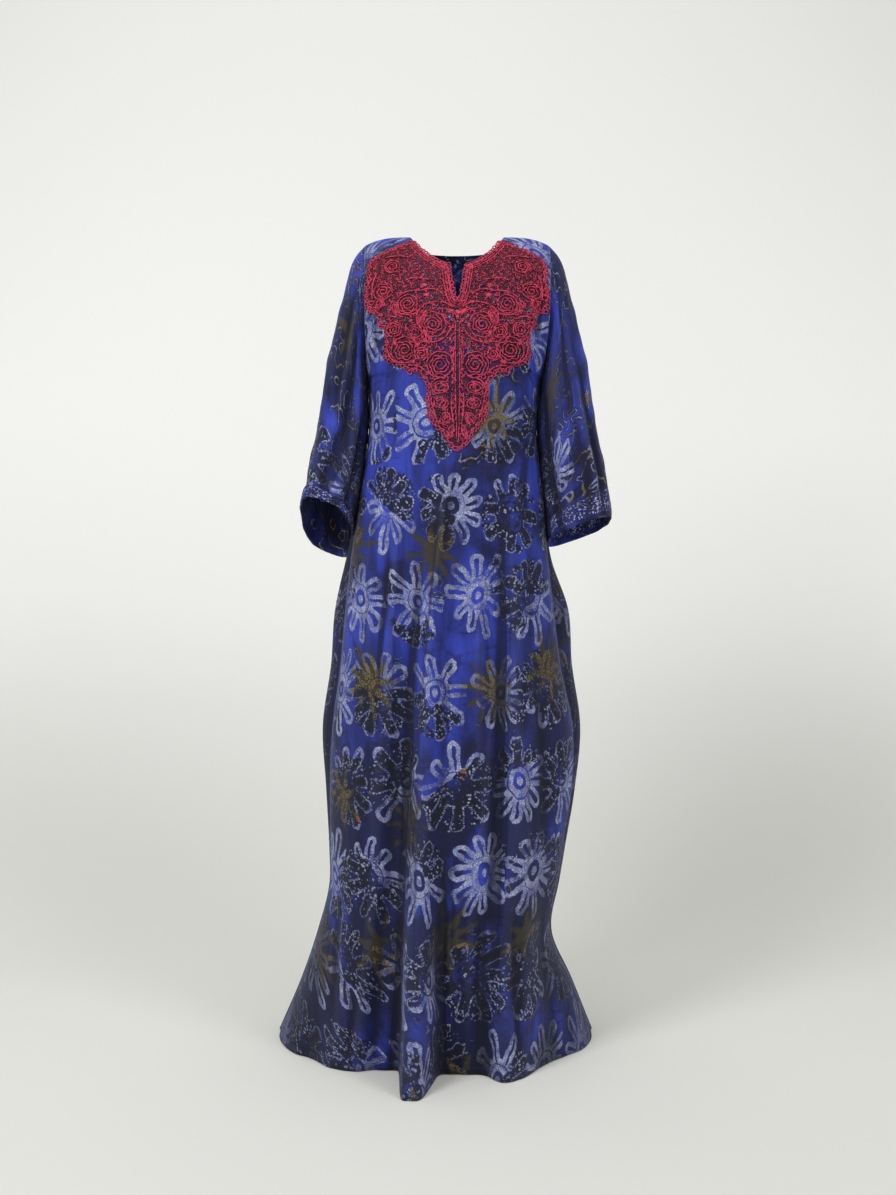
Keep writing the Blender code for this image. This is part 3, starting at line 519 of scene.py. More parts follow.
def add_mesh(name, points, faces, material, layers):
    """A smooth mesh object from points and faces, with UV layers given for each point."""
    mesh = bpy.data.meshes.new(name)
    mesh.from_pydata(np.asarray(points, float).tolist(), [], faces)
    mesh.materials.append(material)
    mesh.polygons.foreach_set("use_smooth", [True] * len(mesh.polygons))
    corners = np.empty(len(mesh.loops), int)
    mesh.loops.foreach_get("vertex_index", corners)
    for layer, places in layers.items():
        places = np.asarray(places, np.float32).reshape(-1, 2)
        mesh.uv_layers.new(name=layer).data.foreach_set("uv", places[corners].ravel())
    mesh.update()
    thing = bpy.data.objects.new(name, mesh)
    bpy.context.scene.collection.objects.link(thing)
    return thing


def grid_faces(rows, columns, flip):
    """Quads of a grid of points, row by row."""
    index = np.arange(rows * columns).reshape(rows, columns)
    quads = np.stack([index[:-1, :-1], index[1:, :-1], index[1:, 1:], index[:-1, 1:]], axis=-1)
    return quads.reshape(-1, 4)[:, :: -1 if flip else 1].tolist()


def cloth_shell(name, node, grid, cloth, edges, flip, material, flat, area, rests_on, ring=False, creases=()):
    """A thin closed shell of cloth on a grid, which replaces one CAD node."""
    faces = grid_faces(*grid.shape[:2], flip)
    outward = grid_normals(grid, ring) * (-1 if flip else 1)
    # Painted shade: the folds layer holds how deep each place lies in a fold, and the painted shadow lines of
    # the creases
    painted_shadow_lines = crease_shadow_lines(creases, grid[..., 0], grid[..., 2])
    folds = np.stack([fold_shade(grid, outward, ring), painted_shadow_lines], axis=-1)
    layers = {"cloth": cloth, "edges": edges, "folds": folds}
    shell = add_mesh(name, grid.reshape(-1, 3), faces, material, layers)
    thickness = shell.modifiers.new("cloth thickness", "SOLIDIFY")
    thickness.thickness = CLOTH_THICKNESS
    thickness.offset = -1.0
    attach(shell, "root")
    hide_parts(node)
    return shell


def panel_cloth(name, node, point, columns, rows, neckline, print_start, flip, material, **sheet):
    """A front or back panel: lengths along the cloth for the print, and distances from the sewn edges."""
    grid, drops = panel_grid(point, columns, rows, neckline)
    across = lengths_across(grid, int(np.argmin(np.abs(columns))))
    cloth = np.stack([across + print_start, -along_cloth(drops)], axis=-1)
    from_side = np.minimum(across - across[:, :1], across[:, -1:] - across)
    edges = np.stack([from_side, HEM_DROP - drops], axis=-1)
    return cloth_shell(name, node, grid, cloth, edges, flip, material, **sheet)


def front_cloth(material):
    """The front panel, with a column of points on each side of the neck and slit."""
    slit = SLIT_HALF / SHOULDER_HALF
    neck = NECK_HALF / SHOULDER_HALF
    columns = spread(FRONT_GRID[0], -0.15, 0.35, 0.9, (-neck, -slit, 0.0, slit, neck))
    neckline = (NECK_DEPTH_FRONT, CHEST_DEPTH, SLIT_LENGTH)
    return panel_cloth(
        "front_panel_cloth", "front_panel", front_point, columns, FRONT_GRID[1], neckline, FRONT_PRINT_START,
        False, material, flat=(0.86, 1.62), area=0.90, rests_on=["back_panel"], creases=FRONT_CREASES,
    )


def back_cloth(material):
    """The back panel, printed from another part of the same length of cloth."""
    neck = NECK_HALF / SHOULDER_HALF
    columns = spread(BACK_GRID[0], 0.0, 0.5, 0.2, (-neck, 0.0, neck))
    neckline = (NECK_DEPTH_BACK, SHOULDER_BLADE_DEPTH, 0.0)
    return panel_cloth(
        "back_panel_cloth", "back_panel", back_point, columns, BACK_GRID[1], neckline, BACK_PRINT_START,
        True, material, flat=(1.00, 1.62), area=0.92, rests_on=["front_panel"], creases=BACK_CREASES,
    )


def profile_table():
    """Drops below the shoulder seam and the lengths along the cloth that reach them, round the chest."""
    turn = np.linspace(0.0, math.pi / 2, 361)
    drops = CHEST_DROP * (1 - np.cos(turn))
    steps = np.hypot(np.diff(drops), np.diff(CHEST_DEPTH * np.sin(turn)))
    return drops, np.concatenate([[0.0], np.cumsum(steps)])


def along_cloth(drops):
    """Length along the cloth from the shoulder seam at each drop."""
    table, lengths = profile_table()
    return np.interp(drops, table, lengths) + np.clip(drops - CHEST_DROP, 0.0, None)


def line_at(line, share):
    """A point at a share of a broken line's length, smoothed."""
    line = np.asarray(line, float)
    steps = np.linalg.norm(np.diff(line, axis=0), axis=1)
    knots = np.concatenate([[0.0], np.cumsum(steps)]) / steps.sum()
    return curve(knots, line[:, 0], share), curve(knots, line[:, 1], share)


def sleeve_creases(creases, share, degrees):
    """How far the smaller creases of a sleeve move it out."""
    total = np.zeros(np.broadcast(share, degrees).shape)
    for n, row in enumerate(creases):
        crease = named(SLEEVE_CREASE_COLUMNS, row)
        down = (share - crease["share_start"]) / (crease["share_end"] - crease["share_start"])
        angle = crease["angle_start"] + (crease["angle_end"] - crease["angle_start"]) * down
        off = (degrees - angle - 4.0 * np.sin(down * 4.0 + n) + 180.0) % 360.0 - 180.0
        fade = np.exp(-((np.abs(down - 0.5) * 2) ** 4) * 1.2)
        total = total + crease["out"] * fade * np.exp(-((off / crease["reach"]) ** 2))
    return total


def sleeve_grid(sleeve, creases, share, angle):
    """Sleeve surface at a share of its length and an angle round it: 0 outer, 90 front, 180 inner."""
    outer_line = OUTER_LINE + (sleeve["cuff_outer"],)
    outer_x, outer_z = line_at(outer_line, share)
    inner_x, inner_z = line_at(sleeve["inner_line"], share)
    thirds = (0.0, 0.33, 0.67, 1.0)
    depth = curve(thirds, SLEEVE_DEPTH, share)
    power = 2 / curve(thirds, SLEEVE_SQUARENESS, share)
    along = np.sign(np.cos(angle)) * np.abs(np.cos(angle)) ** power
    forward = np.sign(np.sin(angle)) * np.abs(np.sin(angle)) ** power
    degrees = np.degrees(angle)
    off = np.degrees(np.arccos(np.clip(np.cos(angle - math.radians(sleeve["groove_at"])), -1.0, 1.0)))
    groove = sleeve["groove_depth"] * np.exp(-((off / sleeve["groove_reach"]) ** 2))
    groove = groove * np.sin(np.clip(share * 1.6, 0.0, 1.0) * math.pi / 2)
    rippled = SLEEVE_RIPPLE[0] * ripple(share * 0.5, degrees / 600.0, SLEEVE_RIPPLE[1], 3.0)
    small = sleeve_creases(creases, share, degrees) + rippled
    small = small * np.clip(share / 0.12, 0.0, 1.0)
    x = (outer_x + inner_x) / 2 + (outer_x - inner_x) / 2 * along + small * along
    y = -(depth * forward - groove * np.clip(forward, 0.0, 1.0) + small * forward)
    z = (outer_z + inner_z) / 2 + (outer_z - inner_z) / 2 * along
    z = z + sleeve["cuff_tilt"] * forward * share**3
    return np.stack(np.broadcast_arrays(sleeve["side"] * x, y, z), axis=-1)


def armhole_ring(side, angle):
    """The sleeve's first ring: the edges of the two panels round the armhole, at angles round it."""
    drop = ARMHOLE_DROP / 2 * (1 - np.cos(np.abs(angle)))
    x = side * np.where(side < 0, body("left", -drop), body("right", -drop))
    z = height(x, drop)
    depth = np.where(angle > 0, -armhole(drop, ARMHOLE_DEPTH_FRONT), armhole(drop, ARMHOLE_DEPTH_BACK))
    return np.stack([x + side * SEAM_GAP, depth, z], axis=-1)


def turned_cuff(grid, down, side, turned):
    """The rows of a cuff folded back up over the sleeve, with the lengths down and from the hem of each."""
    outward = grid_normals(grid, True)[-1] * -side
    upward = unit(grid[-2] - grid[-1])
    heights = np.linspace(0.0, 1.0, len(TURNED_ROWS)) * turned
    lifts = TURNED_LIFT * np.array(TURNED_ROWS)[:, None, None]
    under = np.array([np.interp(down[-1] - h, down, np.arange(len(down))) for h in heights])
    low = np.floor(under).astype(int)
    part = (under - low)[:, None, None]
    surface = grid[low] * (1 - part) + grid[np.minimum(low + 1, len(grid) - 1)] * part
    rows = surface + outward * lifts - upward * TURNED_PAST_CUFF
    return rows, down[-1] + TURNED_GAP + heights, TURNED_HEM_START + heights


def sleeve_cloth(name, node, row, creases, print_start, material):
    """One sleeve as a tube of cloth, its first ring on the armhole."""
    sleeve = named(SLEEVE_COLUMNS, row)
    side = sleeve["side"]
    angle = np.linspace(-math.pi, math.pi, SLEEVE_GRID[0] + 1)[None, :]
    share = (np.linspace(0.0, 1.0, SLEEVE_GRID[1] + 1) ** SLEEVE_ROW_CROWDING)[:, None]
    grid = sleeve_grid(sleeve, creases, share, angle)
    start = armhole_ring(side, angle[0]) - grid[0]
    grid = grid + start[None] * (np.clip(1 - share / SLEEVE_START_SHARE, 0.0, 1.0) ** 2)[..., None]
    grid[:, -1] = grid[:, 0]
    steps = np.linalg.norm(np.diff(grid, axis=0), axis=-1).mean(axis=1)
    down = np.concatenate([[0.0], np.cumsum(steps)])
    from_hem = down[-1] - down + 3 * sleeve["turned"]
    if sleeve["turned"]:
        rows, rows_down, rows_from_hem = turned_cuff(grid, down, side, sleeve["turned"])
        grid = np.concatenate([grid, rows])
        down = np.concatenate([down, rows_down])
        from_hem = np.concatenate([from_hem, rows_from_hem])
    across = lengths_across(grid, SLEEVE_GRID[0] // 2)
    along = np.broadcast_to(down[:, None], across.shape)
    cloth = np.stack([across * side + print_start[0], print_start[1] - along], axis=-1)
    from_seam = np.minimum(across - across[:, :1], across[:, -1:] - across)
    edges = np.stack([from_seam, np.broadcast_to(from_hem[:, None], across.shape)], axis=-1)
    return cloth_shell(
        name, node, grid, cloth, edges, side > 0, material,
        flat=(0.50, 0.52), area=0.18, rests_on=["front_panel", "back_panel"], ring=True,
    )


# Colours of the cloth and lace, as linear red, green and blue
ROYAL_BLUE = (0.039, 0.065, 0.530)
DEEP_BLUE = (0.018, 0.027, 0.195)
# Near-black blue of the dye, also used for painted shade in folds and by the side seams
NIGHT_BLUE = (0.0060, 0.0066, 0.0200)
WAX_LAVENDER = (0.265, 0.300, 0.580)
WAX_PALE = (0.540, 0.580, 0.800)
OLIVE_NIGHT = (0.072, 0.060, 0.022)
OLIVE_DYE = (0.60, 0.50, 0.16)
OCHRE_DYE = (0.62, 0.44, 0.16)
OCHRE = (0.260, 0.185, 0.062)
RUST = (0.300, 0.090, 0.040)
# Painted shade of the lace: its hollows, undersides and the gaps between its cords
LACE_PAINTED_SHADE = (0.016, 0.0014, 0.004)
NET_BRIGHT = (0.200, 0.0085, 0.028)
CORD_BRIGHT = (0.720, 0.040, 0.115)
CORD_FADED = (0.700, 0.068, 0.170)


class Reading:
    """A number that changes over the cloth: one output of a node tree, on which sums are written plainly."""

    def __init__(self, socket):
        self.socket = socket
        self.tree = socket.id_data

    def math(self, operation, *others, first=None):
        node = self.tree.nodes.new("ShaderNodeMath")
        node.operation = operation
        values = (self, *others) if first is None else (first, self)
        for slot, value in zip(node.inputs, values):
            feed(slot, value)
        return Reading(node.outputs[0])

    def __add__(self, other):
        return self.math("ADD", other)

    def __sub__(self, other):
        return self.math("SUBTRACT", other)

    def __rsub__(self, other):
        return self.math("SUBTRACT", first=other)

    def __mul__(self, other):
        return self.math("MULTIPLY", other)

    def __truediv__(self, other):
        return self.math("DIVIDE", other)

    __radd__ = __add__
    __rmul__ = __mul__


def feed(slot, value):
    """Gives a socket a reading, or a plain value."""
    if isinstance(value, Reading):
        value.tree.links.new(value.socket, slot)
    elif isinstance(value, tuple) and slot.type == "RGBA":
        slot.default_value = (*value, 1.0)
    else:
        slot.default_value = value


def feed_all(node, inputs):
    """Gives a node its inputs by name."""
    for name, value in inputs.items():
        feed(node.inputs[name.replace("_", " ")], value)


def add_node(tree, kind, outputs, settings=None, **inputs):
    """A node with its settings and inputs given by name, as readings of the outputs named."""
    node = tree.nodes.new(kind)
    for name, value in (settings or {}).items():
        setattr(node, name, value)
    feed_all(node, inputs)
    return [Reading(node.outputs[name]) for name in outputs]


def parts_of(place):
    """The x, y and z of a place, or the red, green and blue of a colour."""
    return add_node(place.tree, "ShaderNodeSeparateXYZ", "XYZ", Vector=place)


def place_of(x, y, z=0.0):
    """A place from its x, y and z."""
    tree = next(value.tree for value in (x, y, z) if isinstance(value, Reading))
    return add_node(tree, "ShaderNodeCombineXYZ", ["Vector"], X=x, Y=y, Z=z)[0]


def soft_step(value, low, high):
    """0 below low, 1 above high, with a soft change between. It falls instead where low is above high."""
    below, above = (0.0, 1.0) if low < high else (1.0, 0.0)
    return add_node(
        value.tree, "ShaderNodeMapRange", ["Result"], {"interpolation_type": "SMOOTHSTEP"},
        Value=value, From_Min=min(low, high), From_Max=max(low, high), To_Min=below, To_Max=above,
    )[0]


def band(away, foot, top):
    """1 in a band between two soft edges."""
    return soft_step(away, *top) * soft_step(away, *foot)


def mottle(place, scale, detail=3.0, roughness=0.55):
    """Cloudy noise from 0 to 1, with so many lumps to a metre."""
    return add_node(
        place.tree, "ShaderNodeTexNoise", ["Fac"],
        Vector=place, Scale=scale, Detail=detail, Roughness=roughness,
    )[0]


def spots(place, scale):
    """Distance from the nearest of many scattered spots, so many to a metre."""
    return add_node(place.tree, "ShaderNodeTexVoronoi", ["Distance"], Vector=place, Scale=scale)[0]


def place_sum(place, operation, *others):
    """A sum on a whole place at once."""
    node = place.tree.nodes.new("ShaderNodeVectorMath")
    node.operation = operation
    for slot, value in zip(node.inputs, (place, *others)):
        feed(slot, value)
    return Reading(node.outputs[0])


def drift(place, scale, amount):
    """The place moved about by noise, as a hand-drawn line strays."""
    noise = add_node(place.tree, "ShaderNodeTexNoise", ["Color"], Vector=place, Scale=scale, Detail=2.0)[0]
    centred = place_sum(noise, "SUBTRACT", (0.5, 0.5, 0.5))
    return place_sum(centred, "MULTIPLY_ADD", (2 * amount, 2 * amount, 0.0), place)


def luck(x, y, z):
    """Three chance numbers from 0 to 1 that stay the same all over one cell."""
    return parts_of(add_node(x.tree, "ShaderNodeTexWhiteNoise", ["Color"], Vector=place_of(x, y, z))[0])


def blend_colour(share, under, over, mode="MIX"):
    """One colour laid over another by a share."""
    node = share.tree.nodes.new("ShaderNodeMix")
    node.data_type = "RGBA"
    node.blend_type = mode
    feed(node.inputs[0], share)
    feed(node.inputs[6], under)
    feed(node.inputs[7], over)
    return Reading(node.outputs[2])


def new_group(name, inputs, outputs):
    """A node group, its inputs as readings (each has a usual number, or None for a place), and its output."""
    group = bpy.data.node_groups.new(name, "ShaderNodeTree")
    for label, value in inputs.items():
        kind = "NodeSocketVector" if value is None else "NodeSocketFloat"
        socket = group.interface.new_socket(label, in_out="INPUT", socket_type=kind)
        if value is not None:
            socket.default_value = value
    for label in outputs:
        group.interface.new_socket(label, in_out="OUTPUT", socket_type="NodeSocketFloat")
    start = group.nodes.new("NodeGroupInput")
    end = group.nodes.new("NodeGroupOutput")
    return group, {label: Reading(start.outputs[label]) for label in inputs}, end


def use_group(tree, group, **inputs):
    """A placed node group, with its outputs by name."""
    node = tree.nodes.new("ShaderNodeGroup")
    node.node_tree = group
    feed_all(node, inputs)
    return {socket.name: Reading(socket) for socket in node.outputs}


def uv_place(tree, layer):
    """A place on the cloth or lace, from a UV layer."""
    return add_node(tree, "ShaderNodeUVMap", ["UV"], {"uv_map": layer})[0]


def new_material(name):
    """A material, its node tree and its shader."""
    material = bpy.data.materials.new(name)
    material.use_nodes = True
    return material, material.node_tree, material.node_tree.nodes["Principled BSDF"]


def flower_group():
    """Hand-drawn flowers, one to a cell: the distance from the edge of petals and heart, and chances."""
    group, given, end = new_group(
        "hand drawn flowers",
        {
            "Place": None, "Cell Width": 0.122, "Cell Height": 0.163, "Row Shift": 0.37, "Seed": 0.0,
            "Fewest Petals": 8.0, "More Petals": 2.6, "Heart": 0.0320, "Reach": 0.0680,
            "Petal Half Width": 0.0062, "Taper": -0.34, "Stray": 0.018,
        },
        ("Distance", "Radius", "Side", "Luck", "Second Luck", "Third Luck"),
    )
    x, y, _ = parts_of(given["Place"])
    v = y / given["Cell Height"]
    row = v.math("FLOOR")
    u = x / given["Cell Width"] + row * given["Row Shift"]
    column = u.math("FLOOR")
    move_x, move_y, turn = luck(column, row, given["Seed"])
    petal_luck, wide_luck, kind = luck(column, row, given["Seed"] + 7.3)
    x = (u - column - 0.5) * given["Cell Width"] + (move_x - 0.5) * given["Stray"]
    y = (v - row - 0.5) * given["Cell Height"] + (move_y - 0.5) * given["Stray"]
    x = x * (wide_luck * 0.34 + 0.96)
    radius = (x * x + y * y).math("SQRT")
    petals = (petal_luck * given["More Petals"] + given["Fewest Petals"]).math("ROUND")
    sector = petals.math("DIVIDE", first=2 * math.pi)
    angle = (y.math("ARCTAN2", x) + turn * (2 * math.pi)) / sector + 0.5
    petal = angle.math("FLOOR").math("FLOORED_MODULO", petals)
    folded = (angle.math("FRACT") - 0.5) * sector
    longer, fatter, _ = luck(petal, column + row * 3.0, given["Seed"])
    along = radius * folded.math("COSINE")
    aside = radius * folded.math("SINE")
    tip = given["Reach"] * (longer * 0.28 + 0.80)
    held = along.math("MINIMUM", tip).math("MAXIMUM", given["Heart"])
    share = (held - given["Heart"]) / (tip - given["Heart"])
    half_width = given["Petal Half Width"] * (fatter * 0.3 + 0.85) * (1.0 - share * given["Taper"])
    beyond = along - held
    petal_edge = (beyond * beyond + aside * aside).math("SQRT") - half_width
    edge = petal_edge.math("SMOOTH_MIN", radius - given["Heart"], 0.004)
    facing = move_y * (2 * math.pi)
    side = x * facing.math("COSINE") + y * facing.math("SINE")
    feed_all(end, {"Distance": edge, "Radius": radius, "Side": side})
    feed_all(end, {"Luck": kind, "Second Luck": turn, "Third Luck": move_x})
    return group


def crackle_group():
    """Fine cracks in the wax, where dye has seeped in: 1 on a crack."""
    group, given, end = new_group(
        "wax crackle", {"Place": None, "Cracks to a Metre": 230.0, "Width": 0.17}, ("Crack",)
    )
    moved = drift(given["Place"], 90.0, 0.0012)
    distance = add_node(
        group, "ShaderNodeTexVoronoi", ["Distance"], {"feature": "DISTANCE_TO_EDGE"},
        Vector=moved, Scale=given["Cracks to a Metre"],
    )[0]
    feed(end.inputs["Crack"], 1.0 - soft_step(distance / given["Width"], 0.35, 1.0))
    return group


def weave_group():
    """Plain weave: threads along and across, with uneven thick places, as a height from 0 to 1."""
    group, given, end = new_group(
        "plain weave", {"Place": None, "Threads to a Metre": 1500.0, "Slub": 0.35}, ("Height", "Slub Mask")
    )
    x, y, _ = parts_of(given["Place"])
    turn = given["Threads to a Metre"] * math.pi
    warp = (x * turn).math("SINE").math("ABSOLUTE")
    weft = (y * turn).math("SINE").math("ABSOLUTE")
    over = ((x * turn).math("COSINE") * (y * turn).math("COSINE")) * 0.5 + 0.5
    threads = warp * over + weft * (1.0 - over)
    slub_warp = mottle(place_of(x * 900.0, y * 30.0), 1.0)
    slub_weft = mottle(place_of(x * 30.0, y * 900.0), 1.0)
    slub = (slub_warp + slub_weft) * 0.5
    feed(end.inputs["Height"], threads + slub * given["Slub"])
    feed(end.inputs["Slub Mask"], slub)
    return group


def stitch_group():
    """A row of stitches at a distance from an edge: 1 on the thread."""
    group, given, end = new_group(
        "row of stitches", {"Away": 0.0, "Along": 0.0, "Distance": 0.0, "Length": 0.0032}, ("Thread",)
    )
    off = (given["Away"] - given["Distance"]).math("ABSOLUTE")
    on_row = soft_step(off, 0.0007, 0.0004)
    on_stitch = soft_step((given["Along"] / given["Length"]).math("PINGPONG", 0.5), 0.10, 0.16)
    feed(end.inputs["Thread"], on_row * on_stitch)
    return group


# The print: lumps to a metre of each unevenness, sizes of the suns' line, ring and dot, the soft edges of the
# cuff bands above the hem, where the stitches run, and heights of what the fingers would feel
GRAIN_LUMPS = 620.0
SPECKLE_LUMPS = 330.0
BRUSH_LUMPS = 110.0
BLOTCH_LUMPS = 26.0
SUN_LINE_HALF = 0.0018
SUN_RING = 0.0190
SUN_DOT = 0.0062
SUN_RIM = (0.078, 0.072)
SPECKLED_BAND = ((0.008, 0.011), (0.046, 0.042))
SCRIBBLED_BAND = ((0.050, 0.054), (0.074, 0.070))
FOLDED_SEAM = (0.0046, 0.0022)
FOLDED_HEM = (0.0125, 0.0115)
HEM_STITCHES = 0.011
SEAM_STITCHES = 0.006
WEAVE_HEIGHT = 0.00016
HEM_HEIGHT = 0.0004
STITCH_HEIGHT = 0.0003
PLEAT_HEIGHT = 0.0022

# How much of what lies under it each layer of dye, wax or thread covers, and how strong the painted highlight
# on the ridges is
COVER = {
    "dye clouds": 0.86,
    "dye lines": 0.50,
    "wax suns": 0.97,
    "sun shade": 0.20,
    "black petals": 0.93,
    "pale spots": 0.92,
    "dark round curls": 0.75,
    "curls": 0.85,
    "bloom shade": 0.56,
    "olive wash": 0.80,
    "olive on blue": 0.62,
    "ochre on wax": 0.7,
    "rust": 0.8,
    "speckled band": 0.5,
    "speckles": 0.9,
    "scribbled band": 0.6,
    "scribbles": 0.85,
    "painted ridge highlight": 0.05,
    "pale seam": 0.45,
    "stitches": 0.8,
    "slubs": 0.14,
}


def batik_material(name, groups, painted_darkness, seed, suns, squiggles, on_sleeve=0.0):
    """Batik cotton: a streaked blue ground, wax-resist suns with crackle, dark overprint with speckled edges,
    olive blooms, a weave and sewn edges. Folds and side seams get painted shade, deeper on pieces given a
    darkness."""
    material, tree, shader = new_material(name)
    cloth = uv_place(tree, "cloth")
    from_side, from_hem, _ = parts_of(uv_place(tree, "edges"))
    # Fold depth and crease lines, for painted shade and highlight
    in_fold, crease_shadow_line, _ = parts_of(uv_place(tree, "folds"))
    across, along, _ = parts_of(cloth)
    drawn = drift(drift(cloth, 10.0, 0.018), 50.0, 0.0044)
    grain = mottle(cloth, GRAIN_LUMPS, 2.0)
    speckle = mottle(cloth, SPECKLE_LUMPS, 2.0)
    brush = mottle(cloth, BRUSH_LUMPS, 2.0)
    blotch = mottle(cloth, BLOTCH_LUMPS, 2.0)

    def lay(layer, share, over, mode="MIX"):
        """Lays one more colour over the cloth's."""
        nonlocal colour
        colour = blend_colour(share * COVER[layer], colour, over, mode)

    # Ground: dyed blue in upright streaks, with soft dark clouds and thin dark lines where it was folded
    streaks = mottle(place_of(across * 24.0, along * 4.5, 4.1), 1.0, 3.0, 0.6)
    clouds = mottle(place_of(across * 7.0, along * 6.0, 0.7), 1.0, 3.0, 0.6)
    lower = soft_step(along, -0.80, -1.20)
    # A darkness also spreads the dark clouds, as painted shade over the back and sleeves
    clouded = soft_step(clouds + brush * 0.12 + lower * 0.18, 0.57 - painted_darkness, 0.77 - painted_darkness)
    folded = use_group(
        tree, groups["crackle"], Place=place_of(across * 0.22, along), Cracks_to_a_Metre=13.0, Width=0.026
    )
    colour = blend_colour(soft_step(streaks, 0.34, 0.66), ROYAL_BLUE, DEEP_BLUE)
    lay("dye clouds", clouded, NIGHT_BLUE)
    lay("dye lines", folded["Crack"] * soft_step(blotch, 0.46, 0.60), NIGHT_BLUE)

    # Wax suns: a wavy line that loops in and out, a ring and a dot, in broad hand-drawn lines
    sun = use_group(tree, groups["flower"], Place=drawn, Seed=seed)
    half = brush * 0.0030 + blotch * 0.0016 + SUN_LINE_HALF
    line = sun["Distance"].math("ABSOLUTE")
    ring = (sun["Radius"] - (sun["Second Luck"] * 0.003 + SUN_RING)).math("ABSOLUTE")
    dot = sun["Radius"] - (sun["Third Luck"] * 0.003 + SUN_DOT)
    wavy = (line - half).math("MINIMUM", (ring - half * 1.25).math("MINIMUM", dot))
    here = soft_step(sun["Luck"], suns, suns - 0.02)
    ragged = (grain - 0.5) * 0.0028 + (brush - 0.5) * 0.0016
    wax = soft_step(wavy + ragged, 0.0007, -0.0006) * here
    worn = soft_step(blotch + (speckle - 0.5) * 0.5, 0.36, 0.44)
    crack = use_group(tree, groups["crackle"], Place=cloth)["Crack"]
    wax_colour = blend_colour(soft_step(mottle(cloth, 46.0, 2.0), 0.38, 0.66), WAX_LAVENDER, WAX_PALE)
    wax_colour = blend_colour(crack * 0.55, wax_colour, DEEP_BLUE)

    # Dark overprint on part of most suns: black loops with small pale spots in them and speckled pale edges
    reach_in = sun["Side"] + (blotch - 0.5) * 0.11 + (sun["Third Luck"] - 0.50) * 0.12
    over = soft_step(reach_in, 0.000, 0.005) * soft_step(sun["Radius"], *SUN_RIM) * here
    petals = (sun["Distance"] - 0.0034).math("MAXIMUM", 0.0300 - sun["Radius"])
    loops = petals.math("MINIMUM", (ring - 0.0056).math("MAXIMUM", (brush - 0.5) * 0.06))
    off_heart = soft_step(sun["Radius"], 0.0320, 0.0360)
    black = soft_step(loops + ragged * 2.0, 0.0008, -0.0008) + soft_step(blotch + brush * 0.4, 0.70, 0.76)
    black = black.math("MINIMUM", 1.0) * over
    pale_spots = soft_step(spots(drawn, 165.0) + (grain - 0.5) * 0.24, 0.40, 0.28)
    pale_spots = pale_spots * soft_step(blotch + brush, 0.96, 1.06)
    pale_edge = soft_step(loops.math("ABSOLUTE") + ragged * 0.6, 0.0021, 0.0009)
    pale_edge = pale_edge * soft_step(speckle, 0.46, 0.53) * off_heart
    lay("wax suns", wax * (1.0 - over) * (worn * 0.82 + 0.18), wax_colour)
    lay("sun shade", over, NIGHT_BLUE)
    lay("black petals", black, NIGHT_BLUE)
    lay("pale spots", pale_spots.math("MAXIMUM", pale_edge) * over, wax_colour)

    # Small curled strokes and speckles between the suns
    curl_place = drift(drift(cloth, 30.0, 0.010), 14.0, 0.03)
    curl = (mottle(curl_place, 44.0, 0.0) - 0.5).math("ABSOLUTE")
    where = soft_step(mottle(place_of(across, along, 3.3), 15.0, 1.0), 0.64 - squiggles, 0.68 - squiggles)
    curls = soft_step(curl + (grain - 0.5) * 0.02, 0.030, 0.018) * where * (1.0 - wax)
    curl_colour = blend_colour(soft_step(blotch, 0.50, 0.56), wax_colour, OCHRE)
    lay("dark round curls", soft_step(curl, 0.085, 0.050) * where * (1.0 - wax), NIGHT_BLUE)
    lay("curls", curls * soft_step(speckle, 0.40, 0.50), curl_colour)

    # Olive blooms dyed over all of it, which turn blue to dark olive and wax to ochre, in soft dark clouds
    bloom = use_group(
        tree, groups["flower"], Place=drift(cloth, 30.0, 0.006), Cell_Width=0.205, Cell_Height=0.247,
        Row_Shift=0.43, Seed=seed + 5.0, Fewest_Petals=7.0, More_Petals=3.0, Heart=0.008, Reach=0.062,
        Petal_Half_Width=0.0098, Taper=0.70, Stray=0.080,
    )
    chosen = soft_step(bloom["Luck"], 0.26, 0.28)
    lay("bloom shade", soft_step(bloom["Radius"] + (blotch - 0.5) * 0.09, 0.105, 0.020) * chosen, NIGHT_BLUE)
    petal = soft_step(bloom["Distance"] + (brush - 0.5) * 0.007, 0.0030, -0.0030) * chosen
    tint = blend_colour(soft_step(brush + bloom["Second Luck"] * 0.3, 0.50, 0.80), OLIVE_DYE, OCHRE_DYE)
    petal = petal * soft_step(blotch + brush * 0.3, 0.50, 0.62)
    lay("olive wash", petal, tint, "MULTIPLY")
    lay("olive on blue", petal * (1.0 - wax), OLIVE_NIGHT)
    lay("ochre on wax", petal * wax * soft_step(speckle, 0.42, 0.56), OCHRE)
    touch = soft_step(mottle(cloth, 13.0, 1.0), 0.745, 0.765) * wax
    lay("rust", touch * soft_step(brush, 0.40, 0.52), RUST)

    # Cuff bands: speckles next to the hem and ochre scribbles above them
    low_band = band(from_hem, *SPECKLED_BAND) * on_sleeve
    low_dots = soft_step(spots(drawn, 250.0) + (grain - 0.5) * 0.2, 0.42, 0.30) * low_band
    lay("speckled band", low_band, DEEP_BLUE)
    lay("speckles", low_dots, blend_colour(soft_step(brush, 0.50, 0.58), WAX_PALE, OCHRE))
    high_band = band(from_hem, *SCRIBBLED_BAND) * on_sleeve
    scribble = soft_step(curl + (grain - 0.5) * 0.03, 0.05, 0.035) * high_band
    lay("scribbled band", high_band, NIGHT_BLUE)
    lay("scribbles", scribble, blend_colour(soft_step(blotch, 0.44, 0.54), OCHRE, WAX_LAVENDER))

